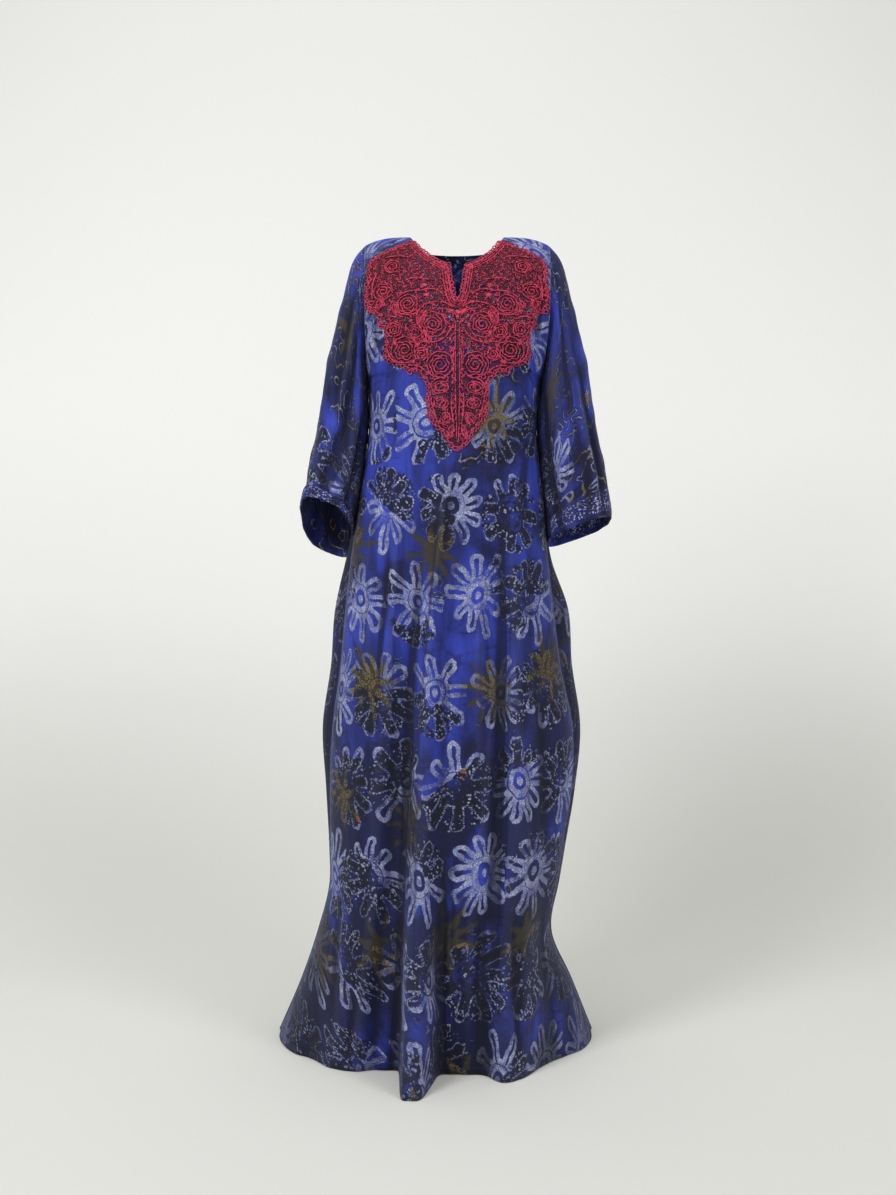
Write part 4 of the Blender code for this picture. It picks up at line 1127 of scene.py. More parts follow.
    # Painted shade and highlight: the troughs of folds and the cloth towards the side seams are painted
    # darker, and ridges are painted a little paler
    # Painted shade in the troughs, and painted shadow lines along the creases
    trough = (soft_step(in_fold, 0.54, 0.96) * 0.80).math("MAXIMUM", crease_shadow_line * 0.85)
    colour = blend_colour(trough, colour, NIGHT_BLUE)
    # Painted shade towards the side seams, wider and darker near the hem of the panels, and darker on the
    # back and sleeves
    flare = soft_step(from_hem, 0.40, 0.12) * (1.0 - on_sleeve)
    painted_side_shade = soft_step(from_side - flare * 0.10 + (blotch - 0.5) * 0.07, 0.075, 0.004)
    colour = blend_colour(painted_side_shade * (flare * 0.42 + 0.22 + painted_darkness * 3.2), colour, NIGHT_BLUE)
    # Painted highlight on the ridges
    lay("painted ridge highlight", soft_step(in_fold, 0.44, 0.10), WAX_LAVENDER)

    # Sewn edges: a pale fold along the side seam, hem and side stitches
    lay("pale seam", soft_step(from_side, *FOLDED_SEAM), WAX_LAVENDER)
    at_hem = use_group(tree, groups["stitch"], Away=from_hem, Along=across, Distance=HEM_STITCHES)
    at_seam = use_group(tree, groups["stitch"], Away=from_side, Along=along, Distance=SEAM_STITCHES)
    thread = at_hem["Thread"].math("MAXIMUM", at_seam["Thread"])
    lay("stitches", thread, DEEP_BLUE)
    weave = use_group(tree, groups["weave"], Place=cloth)
    lay("slubs", soft_step(weave["Slub Mask"], 0.35, 0.65), NIGHT_BLUE)

    hem = soft_step(from_hem, *FOLDED_HEM)
    pleats = mottle(place_of(across * 70.0, along * 9.0, 1.7), 1.0, 3.0, 0.6)
    height = weave["Height"] * WEAVE_HEIGHT + hem * HEM_HEIGHT
    height = height + thread * STITCH_HEIGHT + pleats * PLEAT_HEIGHT
    feed_all(shader, {
        "Base Color": colour,
        "Roughness": wax * -0.10 + grain * 0.16 + 0.70,
        "Normal": add_node(tree, "ShaderNodeBump", ["Normal"], Strength=0.8, Distance=1.0, Height=height)[0],
        "Sheen Weight": 0.10,
        "Sheen Roughness": 0.5,
        "Sheen Tint": (0.55, 0.60, 0.95),
        "Specular IOR Level": 0.30,
    })
    return material


# Lace yoke, on flat measures: across from the centre line, and along the cloth down from the shoulder seam
LACE_HALF_OUTLINE = (
    (0.080, 0.049),
    (0.095, 0.058),
    (0.115, 0.070),
    (0.140, 0.084),
    (0.158, 0.094),
    (0.163, 0.113),
    (0.161, 0.135),
    (0.166, 0.160),
    (0.165, 0.184),
    (0.159, 0.204),
    (0.147, 0.207),
    (0.139, 0.217),
    (0.141, 0.233),
    (0.129, 0.242),
    (0.128, 0.264),
    (0.131, 0.293),
    (0.117, 0.306),
    (0.099, 0.309),
    (0.087, 0.325),
    (0.072, 0.320),
    (0.063, 0.333),
    (0.053, 0.343),
    (0.053, 0.369),
    (0.051, 0.405),
    (0.039, 0.419),
    (0.025, 0.436),
    (0.014, 0.456),
    (0.000, 0.464),
)
LACE_SHOULDER_HALF = 0.078
LACE_NECK_MARGIN = 0.0034
SCALLOP_PITCH = 0.0150
SCALLOP_DEPTH = 0.0042
NET_PITCH_AT_NECK = 0.0041
NET_PITCH_BELOW = 0.0053
NET_SPAN = (0.040, 0.470)
NET_HALF_WIDTH = 0.176
NET_STRAY = 0.24
ROW_TO_PITCH = 0.87
HOLE_SPAN = (0.08, 0.42)
HOLE_CHANCE = 0.045
NET_TOP = 0.0019
NET_SHOULDER = 0.0016
NET_FOOT = 0.0006
CORD_RADIUS = 0.00125
CORD_LIFT = 0.0029
CORD_STEP = 0.0019
CORD_STRAY = 0.00032
CORD_SIDES = 5

# Kinds of raised cord: how high the middle of the cord lies, and how thick it is against the usual radius
CORD_KINDS = {
    "roses": (CORD_LIFT, 1.1),
    "ovals": (CORD_LIFT, 1.0),
    "scrolls": (CORD_LIFT + 0.0003, 1.25),
    "vein": (CORD_LIFT, 1.0),
    "vein branches": (CORD_LIFT - 0.0004, 0.9),
    "neck rows": (CORD_LIFT - 0.0004, 1.0),
    "edge": (CORD_LIFT - 0.0012, 1.2),
    "edge loops": (CORD_LIFT - 0.0014, 0.9),
}
ARC_LIFT = CORD_LIFT - 0.0005

# Roses of coiled cord: place, radius, how many turns and scallops, and where the coil starts
ROSE_COLUMNS = ("across", "along", "radius", "turns", "scallops", "start")
LACE_ROSES = (
    (0.044, 0.238, 0.0225, 3.2, 7, 0.4),
    (0.031, 0.312, 0.0225, 3.0, 6, 2.2),
    (0.094, 0.283, 0.0230, 3.1, 7, 4.0),
    (0.076, 0.250, 0.0120, 2.2, 5, 1.0),
    (0.113, 0.244, 0.0130, 2.2, 5, 5.0),
    (0.089, 0.197, 0.0170, 2.5, 6, 0.0),
    (0.134, 0.168, 0.0160, 2.4, 6, 3.1),
    (0.118, 0.118, 0.0130, 2.0, 5, 1.8),
    (0.064, 0.292, 0.0110, 2.0, 5, 3.6),
)

# Ovals of doubled cord: place, half-width, half-length and lean in degrees
OVAL_COLUMNS = ("across", "along", "half_width", "half_length", "lean")
LACE_OVALS = (
    (0.031, 0.353, 0.0150, 0.0105, 8.0),
    (0.029, 0.381, 0.0125, 0.0090, -12.0),
    (0.022, 0.409, 0.0085, 0.0110, -30.0),
    (0.012, 0.433, 0.0045, 0.0120, -16.0),
    (0.056, 0.262, 0.0060, 0.0120, 24.0),
    (0.064, 0.222, 0.0060, 0.0130, -30.0),
    (0.112, 0.204, 0.0060, 0.0140, 20.0),
    (0.140, 0.192, 0.0060, 0.0120, -20.0),
)

# Scrolls: curved cords from a start, bending towards a middle, to an end
LACE_SCROLLS = (
    ((0.008, 0.206), (0.028, 0.186), (0.058, 0.200)),
    ((0.058, 0.200), (0.080, 0.214), (0.070, 0.238)),
    ((0.006, 0.222), (0.016, 0.206), (0.034, 0.208)),
    ((0.004, 0.232), (0.014, 0.252), (0.022, 0.262)),
    ((0.022, 0.262), (0.040, 0.276), (0.066, 0.268)),
    ((0.005, 0.282), (0.010, 0.300), (0.006, 0.330)),
    ((0.052, 0.330), (0.062, 0.310), (0.088, 0.312)),
    ((0.072, 0.216), (0.092, 0.222), (0.108, 0.212)),
    ((0.104, 0.306), (0.124, 0.300), (0.126, 0.274)),
    ((0.026, 0.180), (0.040, 0.162), (0.066, 0.172)),
    ((0.066, 0.172), (0.092, 0.168), (0.108, 0.184)),
    ((0.050, 0.150), (0.076, 0.140), (0.094, 0.150)),
    ((0.088, 0.098), (0.110, 0.092), (0.132, 0.096)),
    ((0.146, 0.132), (0.156, 0.150), (0.154, 0.180)),
    ((0.024, 0.336), (0.044, 0.334), (0.048, 0.352)),
    ((0.048, 0.366), (0.044, 0.392), (0.036, 0.412)),
    ((0.010, 0.362), (0.012, 0.392), (0.006, 0.420)),
    ((0.108, 0.222), (0.124, 0.216), (0.134, 0.222)),
)
VEIN_TOP = 0.236
VEIN_FOOT = 0.452
VEIN_HALF = 0.0034
VEIN_BRANCH_PITCH = 0.0120
NECK_ROWS = (0.0022, 0.0062, 0.0104)
ARC_SPAN = (0.046, 0.455)
ARC_PITCH_AT_NECK = 0.0070
ARC_PITCH_BELOW = 0.0100
ARC_STRAY = 0.2
PICOT_PITCH = 0.0068
PICOT_RADIUS = 0.0036


def chest_surface(across, along):
    """The front cloth's outer surface at flat places on it, and its outward normals."""

    def at(x, y):
        table, lengths = profile_table()
        drop = np.interp(y, lengths, table) + np.clip(y - lengths[-1], 0.0, None)
        left = body("left", -drop)
        right = body("right", -drop)
        s = (x - (right - left) / 2) / ((right + left) / 2)
        return front_point(np.clip(s, -1.0, 1.0), drop)

    step = 0.0012
    rightwards = at(across + step, along) - at(across - step, along)
    downwards = at(across, along + step) - at(across, along - step)
    normal = np.cross(rightwards, downwards)
    return at(across, along), unit(normal * -np.sign(normal[..., 1:2]))


def inside(outline, x, y):
    """Which of many places are inside an outline."""
    start = np.asarray(outline)
    end = np.roll(start, -1, axis=0)
    x, y = np.asarray(x)[..., None], np.asarray(y)[..., None]
    crosses = (start[:, 1] > y) != (end[:, 1] > y)
    run = np.where(end[:, 1] == start[:, 1], 1.0, end[:, 1] - start[:, 1])
    meets = start[:, 0] + (y - start[:, 1]) * (end[:, 0] - start[:, 0]) / run
    return (crosses & (x < meets)).sum(axis=-1) % 2 == 1


def neck_edge():
    """The lace's edge, set back from the neckline, from the left shoulder round the slit to the right one."""
    turn = np.linspace(-1.0, 1.0, 241)
    out = np.abs(turn)
    in_slit = (out / 0.4) ** 0.6 * SLIT_HALF
    beyond = SLIT_HALF + (LACE_SHOULDER_HALF - SLIT_HALF) * (out - 0.4) / 0.6
    x = np.sign(turn) * np.where(out < 0.4, in_slit, beyond)
    neckline = along_cloth(neck_drop(x, NECK_DEPTH_FRONT, CHEST_DEPTH, SLIT_LENGTH))
    path = beside(evenly(np.stack([x, neckline], axis=-1), 0.0018), LACE_NECK_MARGIN)
    middle = np.abs(path[:, 0]) > 0.0014
    return path[middle | (path[:, 1] > path[:, 1].max() - 0.004)]


def lace_outline():
    """The lace's whole outline: down one side to the point, up the other, and along the neckline and slit."""
    step = 0.0015
    half = evenly(LACE_HALF_OUTLINE, step)
    bulge = np.abs(np.sin(np.arange(len(half)) * step * math.pi / SCALLOP_PITCH))
    half = beside(half, SCALLOP_DEPTH * (1.4 - bulge)[:, None])
    half[-1] = (0.0, LACE_HALF_OUTLINE[-1][1])
    return np.concatenate([neck_edge(), half, (half * (-1, 1))[-2::-1]])


def evenly(path, step, closed=False):
    """A path's places, an even step apart along it."""
    path = np.asarray(path, float)
    if closed:
        path = np.concatenate([path, path[:1]])
    lengths = np.concatenate([[0.0], np.cumsum(np.linalg.norm(np.diff(path, axis=0), axis=1))])
    count = max(4, round(lengths[-1] / step))
    at = np.linspace(0.0, lengths[-1], count + 1)
    return np.stack([np.interp(at, lengths, path[:, 0]), np.interp(at, lengths, path[:, 1])], axis=-1)


def beside(path, distance):
    """A path moved sideways by a distance."""
    run = unit(np.gradient(path, axis=0))
    return path + np.stack([-run[:, 1], run[:, 0]], axis=-1) * distance


def share_of(place, start, reach):
    """How far a place is from a start, as a share of a reach, from 0 to 1."""
    return min(max((place - start) / reach, 0.0), 1.0)


def net_cells(outline, chance):
    """Cells of the net: the place of each, and the corners round it."""
    places = []
    along = NET_SPAN[0]
    while along < NET_SPAN[1]:
        pitch = NET_PITCH_AT_NECK + (NET_PITCH_BELOW - NET_PITCH_AT_NECK) * share_of(along, 0.12, 0.12)
        count = int(NET_HALF_WIDTH / pitch)
        across = (np.arange(-count, count + 1) + 0.5 * (len(places) % 2)) * pitch
        stray = chance.uniform(-NET_STRAY, NET_STRAY, (len(across), 2)) * pitch
        places.append(np.stack([across, np.full(len(across), along)], axis=-1) + stray)
        along += pitch * ROW_TO_PITCH
    places = np.concatenate(places)
    found = delaunay_2d_cdt([Vector(p) for p in places], [], [], 0, 1e-7)
    places = np.array([(p.x, p.y) for p in found[0]])
    triangles = np.array([face for face in found[2] if len(face) == 3])
    a, b, c = (places[triangles[:, k]] for k in range(3))
    size = 2 * ((b - a)[:, 0] * (c - a)[:, 1] - (b - a)[:, 1] * (c - a)[:, 0])
    ab, ac = ((b - a) ** 2).sum(1), ((c - a) ** 2).sum(1)
    centre_x = a[:, 0] + ((c - a)[:, 1] * ab - (b - a)[:, 1] * ac) / size
    centre_y = a[:, 1] + ((b - a)[:, 0] * ac - (c - a)[:, 0] * ab) / size
    corners = np.stack([centre_x, centre_y], axis=-1)
    round_place = [[] for _ in places]
    for number, triangle in enumerate(triangles.tolist()):
        for place in triangle:
            round_place[place].append(number)
    wanted = inside(outline, places[:, 0], places[:, 1])
    cells = []
    for place, numbers in enumerate(round_place):
        is_hole = HOLE_SPAN[0] < places[place][1] < HOLE_SPAN[1] and chance.random() < HOLE_CHANCE
        if wanted[place] and len(numbers) > 3 and not is_hole:
            turn = np.arctan2(*(corners[numbers] - places[place]).T[::-1])
            cells.append((places[place], [numbers[k] for k in np.argsort(turn)]))
    return corners, cells


def lace_net(outline, chance, material):
    """The lace's ground: a net of soft cords round small open cells, rounded down to its foot at each one."""
    corners, cells = net_cells(outline, chance)
    used = sorted({number for _, numbers in cells for number in numbers})
    renumber = {number: k for k, number in enumerate(used)}
    flat = [corners[used]]
    lifts = [np.full(len(used), NET_TOP)]
    faces = []
    count = len(used)
    for place, numbers in cells:
        top = [renumber[number] for number in numbers]
        open_share = 0.36 + 0.20 * share_of(place[1], 0.10, 0.14) + chance.uniform(-0.06, 0.06)
        ring = corners[numbers]
        middle = ring.mean(axis=0)
        sides = len(numbers)
        for share, lift in (((1 + open_share) / 2, NET_SHOULDER), (open_share, NET_FOOT)):
            flat.append(middle + (ring - middle) * share)
            lifts.append(np.full(sides, lift))
        rings = [top, [count + k for k in range(sides)], [count + sides + k for k in range(sides)]]
        for outer, inner in zip(rings, rings[1:]):
            for k in range(sides):
                after = (k + 1) % sides
                faces.append((outer[k], outer[after], inner[after], inner[k]))
        count += 2 * sides
    flat = np.concatenate(flat)
    surface, normal = chest_surface(flat[:, 0], flat[:, 1])
    lifts = np.concatenate(lifts)
    # Relief for painted shade: the net is painted darker towards its foot
    relief = np.stack([(lifts - NET_FOOT) / (NET_TOP - NET_FOOT), flat[:, 1]], axis=-1)
    return add_mesh("lace_yoke_net", surface + normal * lifts[:, None], faces, material, {"relief": relief})


def cord_tubes(name, cords, material):
    """Raised cords along flat paths: each is (path, lift, radius)."""
    points, faces, relief = [], [], []
    count = 0
    turn = np.arange(CORD_SIDES) * 2 * math.pi / CORD_SIDES
    flat = np.concatenate([path for path, _, _ in cords])
    all_surface, all_normal = chest_surface(flat[:, 0], flat[:, 1])
    stops = np.cumsum([0] + [len(path) for path, _, _ in cords])
    for (path, lift, radius), start, stop in zip(cords, stops[:-1], stops[1:]):
        surface, normal = all_surface[start:stop], all_normal[start:stop]
        centre = surface + normal * lift
        side = np.cross(unit(np.gradient(centre, axis=0)), normal)
        taper = np.clip(np.minimum(np.arange(len(path)), np.arange(len(path))[::-1]) * 0.5 + 0.5, 0.0, 1.0)
        thick = (radius * taper)[:, None, None]
        ring = np.cos(turn)[None, :, None] * normal[:, None] + np.sin(turn)[None, :, None] * side[:, None]
        points.append((centre[:, None] + ring * thick).reshape(-1, 3))
        # Relief for painted shade: each cord is painted darker on its underside
        shade = np.broadcast_to(0.5 + 0.5 * np.cos(turn)[None, :], ring.shape[:2])
        relief.append(np.stack([shade, np.broadcast_to(path[:, 1:], shade.shape)], axis=-1).reshape(-1, 2))
        index = count + np.arange(len(path) * CORD_SIDES).reshape(len(path), CORD_SIDES)
        after = np.roll(index, -1, axis=1)
        quads = np.stack([index[:-1], after[:-1], after[1:], index[1:]], axis=-1).reshape(-1, 4)
        faces.extend(quads.tolist())
        faces.append(index[0].tolist()[::-1])
        faces.append(index[-1].tolist())
        count += len(path) * CORD_SIDES
    return add_mesh(name, np.concatenate(points), faces, material, {"relief": np.concatenate(relief)})


def polar(radius, turn):
    """Flat places at a radius and a turn."""
    return np.stack([radius * np.cos(turn), radius * np.sin(turn)], axis=-1)


def arc(x, y, radius, start, end):
    """A round arc of flat places."""
    return np.array([x, y]) + polar(radius, np.linspace(start, end, 24))


def leaned(part, x, y):
    """Places across and along a part of the lace, turned by its lean and moved to its own place."""
    lean = math.radians(part["lean"])
    across = part["across"] + x * math.cos(lean) - y * math.sin(lean)
    return across, part["along"] + x * math.sin(lean) + y * math.cos(lean)


def rose_paths(rose):
    """A rose: one coil that widens from its heart, scalloped more towards the rim, and a closed rim."""
    start = rose["start"]
    turn = np.linspace(0.0, 2 * math.pi * rose["turns"], 160)
    share = turn / turn[-1]
    wave = 1 + 0.12 * share * np.cos(rose["scallops"] * (turn + start)) + 0.05 * np.sin(turn * 4.3 + start)
    coil = polar(rose["radius"] * (0.10 + 0.78 * share**0.85) * wave, turn + start)
    round_turn = np.linspace(0.0, 2 * math.pi, 90)
    scallops = 1 + 0.07 * np.abs(np.sin(rose["scallops"] * round_turn / 2 + start))
    centre = np.array([rose["across"], rose["along"]])
    return [coil + centre, polar(rose["radius"] * scallops, round_turn) + centre]


def oval_paths(oval):
    """An oval of doubled cord with a bar across it."""
    turn = np.linspace(0.0, 2 * math.pi, 48)
    bar = np.linspace(-0.9, 0.9, 12)
    paths = []
    for share in (1.0, 0.62):
        paths.append((oval["half_width"] * share * np.cos(turn), oval["half_length"] * share * np.sin(turn)))
    paths.append((oval["half_width"] * 0.2 * np.sin(bar * 3), oval["half_length"] * bar))
    return [np.stack(leaned(oval, x, y), axis=-1) for x, y in paths]


def bent(start, middle, end):
    """A soft curve from start to end, bending towards the middle."""
    share = np.linspace(0.0, 1.0, 24)[:, None]
    start, middle, end = (np.array(p) for p in (start, middle, end))
    return start * (1 - share) ** 2 + 2 * middle * share * (1 - share) + end * share**2


def filler_arcs(outline, chance):
    """Small curled arcs that fill the ground between the roses, finer and closer near the neck."""
    paths = []
    along = ARC_SPAN[0]
    while along < ARC_SPAN[1]:
        below = share_of(along, 0.13, 0.07)
        pitch = ARC_PITCH_AT_NECK + (ARC_PITCH_BELOW - ARC_PITCH_AT_NECK) * below
        for i in range(-24, 25):
            x = (i + 0.5 * (len(paths) % 2)) * pitch + chance.uniform(-ARC_STRAY, ARC_STRAY) * pitch
            y = along + chance.uniform(-ARC_STRAY, ARC_STRAY) * pitch
            start = chance.uniform(0.0, 2 * math.pi)
            path = arc(x, y, pitch * chance.uniform(0.26, 0.40), start, start + chance.uniform(3.2, 4.8))
            in_rose = any(math.hypot(abs(x) - rose[0], y - rose[1]) < rose[2] + 0.001 for rose in LACE_ROSES)
            in_vein = abs(x) < VEIN_HALF + 0.002 and y > VEIN_TOP
            if not in_rose and not in_vein and inside(outline, path[:, 0], path[:, 1]).all():
                paths.append((path, ARC_LIFT, CORD_RADIUS * (0.76 + 0.24 * below)))
        along += pitch * ROW_TO_PITCH
    return paths


def picot_paths(edge, chance):
    """Small loops that stand out all along an edge."""
    places = evenly(edge, PICOT_PITCH, closed=True)
    outward = places - beside(places, 1.0)
    paths = []
    for place, out in zip(places[:-1], outward[:-1]):
        facing = math.atan2(out[1], out[0]) + chance.uniform(-0.4, 0.4)
        radius = PICOT_RADIUS * chance.uniform(0.7, 1.25)
        paths.append(arc(*(place + out * 0.0020), radius, facing - 2.0, facing + 2.0))
    return paths


def cords_of(kind, paths):
    """Cords of one kind, each as (path, lift, radius)."""
    lift, thick = CORD_KINDS[kind]
    return [(path, lift, CORD_RADIUS * thick) for path in paths]


def vein_branches():
    """Short bent cords out from the vein down the middle, shorter towards its foot."""
    paths = []
    for k in range(int((VEIN_FOOT - VEIN_TOP - 0.03) / VEIN_BRANCH_PITCH)):
        y = VEIN_TOP + 0.008 + k * VEIN_BRANCH_PITCH
        reach = 0.012 * (1 - 0.5 * k * VEIN_BRANCH_PITCH / (VEIN_FOOT - VEIN_TOP))
        paths.append(bent((VEIN_HALF, y), (reach, y - 0.001), (reach, y + 0.007)))
    return paths


def raised_cords(outline, chance):
    """All the raised cords of the lace, as (path, lift, radius)."""
    half = []
    for row in LACE_ROSES:
        half += cords_of("roses", rose_paths(named(ROSE_COLUMNS, row)))
    for row in LACE_OVALS:
        half += cords_of("ovals", oval_paths(named(OVAL_COLUMNS, row)))
    half += cords_of("scrolls", [bent(*scroll) for scroll in LACE_SCROLLS])
    half += cords_of("vein", [bent((VEIN_HALF, VEIN_TOP), (VEIN_HALF * 1.6, 0.34), (0.0010, VEIN_FOOT))])
    half += cords_of("vein branches", vein_branches())
    cords = half + [(path * (-1, 1), lift, radius) for path, lift, radius in half]
    neck = evenly(neck_edge(), 0.002)
    middle = len(neck) // 2
    for distance in NECK_ROWS:
        row = beside(neck, distance)
        kept = inside(outline, row[:, 0], row[:, 1])
        halves = (row[:middle][kept[:middle]], row[middle:][kept[middle:]])
        cords += cords_of("neck rows", [path for path in halves if len(path) > 6])
    cords += filler_arcs(outline, chance)
    cords += cords_of("edge", [np.concatenate([outline, outline[:1]])])
    cords += cords_of("edge loops", picot_paths(outline, chance))
    uneven = []
    for path, lift, radius in cords:
        path = evenly(path, CORD_STEP)
        path = path + chance.normal(0.0, CORD_STRAY, path.shape)
        uneven.append((path, lift, radius * chance.uniform(0.72, 1.28, len(path))))
    return uneven


# Pads of satin stitch: place, half-width, half-length and lean in degrees
SATIN_COLUMNS = ("across", "along", "half_width", "half_length", "lean")
LACE_SATIN = (
    (0.000, 0.215, 0.0075, 0.0048, 0.0),
    (0.012, 0.213, 0.0085, 0.0046, -14.0),
    (0.000, 0.224, 0.0034, 0.0060, 0.0),
    (0.058, 0.252, 0.0040, 0.0070, 30.0),
    (0.066, 0.232, 0.0036, 0.0060, -40.0),
    (0.082, 0.305, 0.0070, 0.0040, 10.0),
    (0.056, 0.180, 0.0065, 0.0036, -10.0),
    (0.060, 0.160, 0.0070, 0.0040, 14.0),
    (0.112, 0.268, 0.0040, 0.0060, 12.0),
    (0.070, 0.275, 0.0034, 0.0056, -30.0),
)
SATIN_RISE = 0.0016
THREAD_HEIGHT = 0.00025
SATIN_SIDES = 16
SATIN_RINGS = ((1.0, 0.0), (0.9, 0.55), (0.6, 0.9), (0.25, 1.0))


def satin_pads(material):
    """Small domed pads of satin stitch: the bow at the centre and the leaves beside the roses."""
    points, relief = [], []
    turn = np.linspace(0.0, 2 * math.pi, SATIN_SIDES + 1)[:-1]
    left = [(-row[0], *row[1:4], -row[4]) for row in LACE_SATIN if row[0] > 0]
    rows = [*LACE_SATIN, *left]
    for row in rows:
        pad = named(SATIN_COLUMNS, row)
        for share, rise in SATIN_RINGS:
            x = pad["half_width"] * share * np.cos(turn)
            y = pad["half_length"] * share * np.sin(turn)
            across, along = leaned(pad, x, y)
            surface, normal = chest_surface(across, along)
            points.append(surface + normal * (NET_TOP + SATIN_RISE * rise))
            # Relief for painted shade: each pad is painted darker towards its foot
            relief.append(np.stack([np.full(SATIN_SIDES, 0.45 + 0.55 * rise), along], axis=-1))
    faces = []
    for index in np.arange(len(points) * SATIN_SIDES).reshape(len(rows), len(SATIN_RINGS), SATIN_SIDES):
        after = np.roll(index, -1, axis=1)
        quads = np.stack([index[:-1], after[:-1], after[1:], index[1:]], axis=-1)
        faces += quads.reshape(-1, 4).tolist() + [index[-1].tolist()]
    return add_mesh(
        "lace_yoke_satin", np.concatenate(points), faces, material, {"relief": np.concatenate(relief)}
    )


def lace_yoke(net_material, cord_material):
    """The lace yoke: a net ground with raised cords and satin pads on it."""
    chance = np.random.default_rng(11)
    outline = lace_outline()
    net = lace_net(outline, chance, net_material)
    cords = cord_tubes("lace_yoke_cords", raised_cords(outline, chance), cord_material)
    satin = satin_pads(cord_material)
    for piece in (net, cords, satin):
        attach(piece, "root")
    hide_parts("lace_yoke")


def thread_group():
    """Twisted thread: fine slanting ridges, and patches from place to place that set roughness and painted
    shadow.
    """
    group, given, end = new_group("twisted thread", {"Ridges to a Metre": 1400.0}, ("Height", "Shade"))
    place = add_node(group, "ShaderNodeTexCoord", ["Object"])[0]
    x, y, z = parts_of(place)
    slant = (x * 1.0 + z * 1.3 + y * 0.6) * given["Ridges to a Metre"] * math.pi
    ridge = slant.math("SINE").math("ABSOLUTE")
    fuzz = mottle(place, 2600.0, 2.0)
    feed(end.inputs["Height"], ridge * 0.6 + fuzz)
    feed(end.inputs["Shade"], mottle(place, 210.0, 1.0) * 0.75 + mottle(place, 45.0, 1.0) * 0.25)
    return group


def lace_material(name, groups, bright, faded, sheen):
    """Crimson lace thread with painted shade: nearly black in the hollows and on the undersides, bright on
    top, a little faded towards the foot.
    """
    material, tree, shader = new_material(name)
    high, along, _ = parts_of(uv_place(tree, "relief"))
    thread = use_group(tree, groups["thread"])
    colour = blend_colour(soft_step(along, 0.22, 0.40) * 0.6, bright, faded)
    # Painted shadows between the cords, in patches
    colour = blend_colour(soft_step(thread["Shade"], 0.54, 0.40) * 0.66, colour, LACE_PAINTED_SHADE)
    # Painted shade in the hollows, at the net's foot, under the cords and at the pads' feet
    colour = blend_colour(soft_step(high, 0.98, 0.45), colour, LACE_PAINTED_SHADE)
    height = thread["Height"] * THREAD_HEIGHT
    feed_all(shader, {
        "Base Color": colour,
        "Roughness": 0.72 - thread["Shade"] * 0.25,
        "Normal": add_node(tree, "ShaderNodeBump", ["Normal"], Strength=0.6, Distance=1.0, Height=height)[0],
        "Sheen Weight": sheen,
        "Sheen Roughness": 0.4,
        "Sheen Tint": (1.0, 0.35, 0.45),
        "Specular IOR Level": 0.4,
    })
    return material


# Studio and camera
CAMERA_PLACE = (-0.017, -2.632, -0.677)
CAMERA_LENS = 42.2
CAMERA_SENSOR = 36.0
FLOOR_HALF = 3.0
FLOOR_FRONT = -4.0
BACKDROP_Y = 1.10
BACKDROP_TOP = 3.4
BACKDROP_BEND = 0.55
PAPER_COLOUR = (0.84, 0.84, 0.81)
FLOOR_GLOW = (0.022, 0.020, 0.010)
WALL_GLOW = (0.200, 0.203, 0.205)
TOP_GLOW = (0.010, 0.016, 0.018)
WALL_GLOW_HEIGHTS = (0.05, 0.9)
TOP_GLOW_HEIGHTS = (0.9, 2.8)
AIR_BRIGHTNESS = 0.31

# Soft boxes: name, place, what each is aimed at, width and height, and power in watts
STUDIO_LIGHTS = (
    ("left soft box", (-1.7, -1.9, 1.0), (0.0, 0.0, -0.2), (0.9, 1.3), 40.0),
    ("right soft box", (1.9, -1.9, 0.9), (0.0, 0.0, -0.2), (0.9, 1.3), 21.0),
    ("overhead soft box", (0.0, -0.6, 1.7), (0.0, 0.1, -0.8), (2.4, 1.8), 15.0),
)


def paper_material():
    """Pale studio paper that glows a little on the wall, and is clear from behind."""
    material, tree, shader = new_material("studio paper")
    up = parts_of(add_node(tree, "ShaderNodeTexCoord", ["Object"])[0])[2]
    wall = soft_step(up, *(FLOOR + height for height in WALL_GLOW_HEIGHTS))
    top = soft_step(up, *(FLOOR + height for height in TOP_GLOW_HEIGHTS))
    glow = blend_colour(top, blend_colour(wall, FLOOR_GLOW, WALL_GLOW), TOP_GLOW)
    feed_all(shader, {
        "Base Color": PAPER_COLOUR, "Roughness": 0.9, "Emission Color": glow, "Emission Strength": 1.0,
    })
    one_sided = tree.nodes.new("ShaderNodeMixShader")
    feed(one_sided.inputs[0], add_node(tree, "ShaderNodeNewGeometry", ["Backfacing"])[0])
    feed(one_sided.inputs[1], Reading(shader.outputs["BSDF"]))
    feed(one_sided.inputs[2], add_node(tree, "ShaderNodeBsdfTransparent", ["BSDF"])[0])
    feed(tree.nodes["Material Output"].inputs["Surface"], Reading(one_sided.outputs[0]))
    return material


def studio_backdrop():
    """One pale sheet: the floor, a round bend and the wall behind."""
    profile = [(FLOOR_FRONT, 0.0)]
    for degrees in range(0, 91, 6):
        turn = math.radians(degrees)
        forward = BACKDROP_BEND * (1 - math.sin(turn))
        profile.append((BACKDROP_Y - forward, BACKDROP_BEND * (1 - math.cos(turn))))
    profile.append((BACKDROP_Y, BACKDROP_TOP))
    points = [(x, y, FLOOR - 0.0015 + z) for y, z in profile for x in (-FLOOR_HALF, FLOOR_HALF)]
    faces = [(2 * k, 2 * k + 1, 2 * k + 3, 2 * k + 2) for k in range(len(profile) - 1)]
    backdrop = add_mesh("studio_backdrop", points, faces, paper_material(), {})


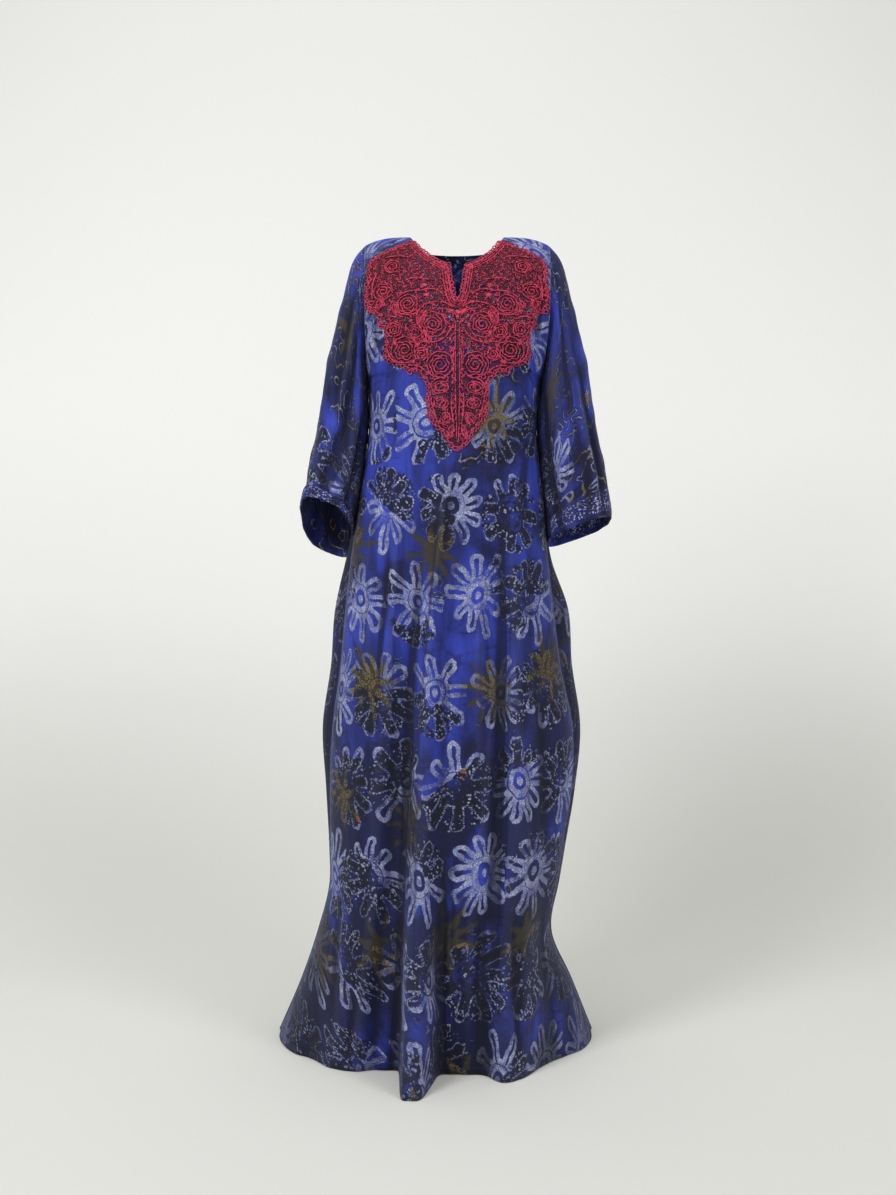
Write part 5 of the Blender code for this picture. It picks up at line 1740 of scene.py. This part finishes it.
def studio_light(name, place, aim, size, power):
    """One soft rectangular light aimed at a point."""
    light = bpy.data.lights.new(name, "AREA")
    light.shape = "RECTANGLE"
    light.size, light.size_y = size
    light.energy = power
    lamp = bpy.data.objects.new(name, light)
    lamp.location = place
    lamp.rotation_euler = (Vector(aim) - Vector(place)).to_track_quat("-Z", "Y").to_euler()
    bpy.context.scene.collection.objects.link(lamp)


def studio():
    """The backdrop, two soft boxes in front, one overhead, and the camera."""
    studio_backdrop()
    for row in STUDIO_LIGHTS:
        studio_light(*row)
    scene = bpy.context.scene
    scene.view_settings.view_transform = "Standard"
    world = scene.world or bpy.data.worlds.new("studio air")
    scene.world = world
    world.use_nodes = True
    background = world.node_tree.nodes["Background"]
    background.inputs["Color"].default_value = (1.0, 1.0, 1.0, 1.0)
    background.inputs["Strength"].default_value = AIR_BRIGHTNESS
    camera = bpy.data.objects.new("camera", bpy.data.cameras.new("camera"))
    camera.data.sensor_fit = "VERTICAL"
    camera.data.sensor_height = CAMERA_SENSOR
    camera.data.lens = CAMERA_LENS
    camera.location = CAMERA_PLACE
    camera.rotation_euler = (math.radians(90.0), 0.0, 0.0)
    scene.collection.objects.link(camera)
    scene.camera = camera


groups = {
    "flower": flower_group(),
    "crackle": crackle_group(),
    "weave": weave_group(),
    "stitch": stitch_group(),
    "thread": thread_group(),
}
# The back and sleeves are copies painted darker, as painted shade
batik = batik_material("blue batik", groups, painted_darkness=0.0, seed=3.0, suns=1.10, squiggles=-0.02)
back_batik = batik_material("blue batik with painted shade", groups, painted_darkness=0.15, seed=3.0, suns=0.90, squiggles=0.03)
sleeve_batik = batik_material(
    "sleeve batik", groups, painted_darkness=0.12, seed=11.0, suns=0.16, squiggles=0.16, on_sleeve=1.0
)
front_cloth(batik)
back_cloth(back_batik)
sleeve_cloth(
    "left_sleeve_cloth", "left_sleeve", LEFT_SLEEVE, LEFT_SLEEVE_CREASES, LEFT_PRINT_START, sleeve_batik
)
sleeve_cloth(
    "right_sleeve_cloth", "right_sleeve", RIGHT_SLEEVE, RIGHT_SLEEVE_CREASES, RIGHT_PRINT_START, sleeve_batik
)
lace_yoke(
    lace_material("crimson lace net", groups, NET_BRIGHT, NET_BRIGHT, 0.05),
    lace_material("crimson raised cord", groups, CORD_BRIGHT, CORD_FADED, 0.12),
)
studio()
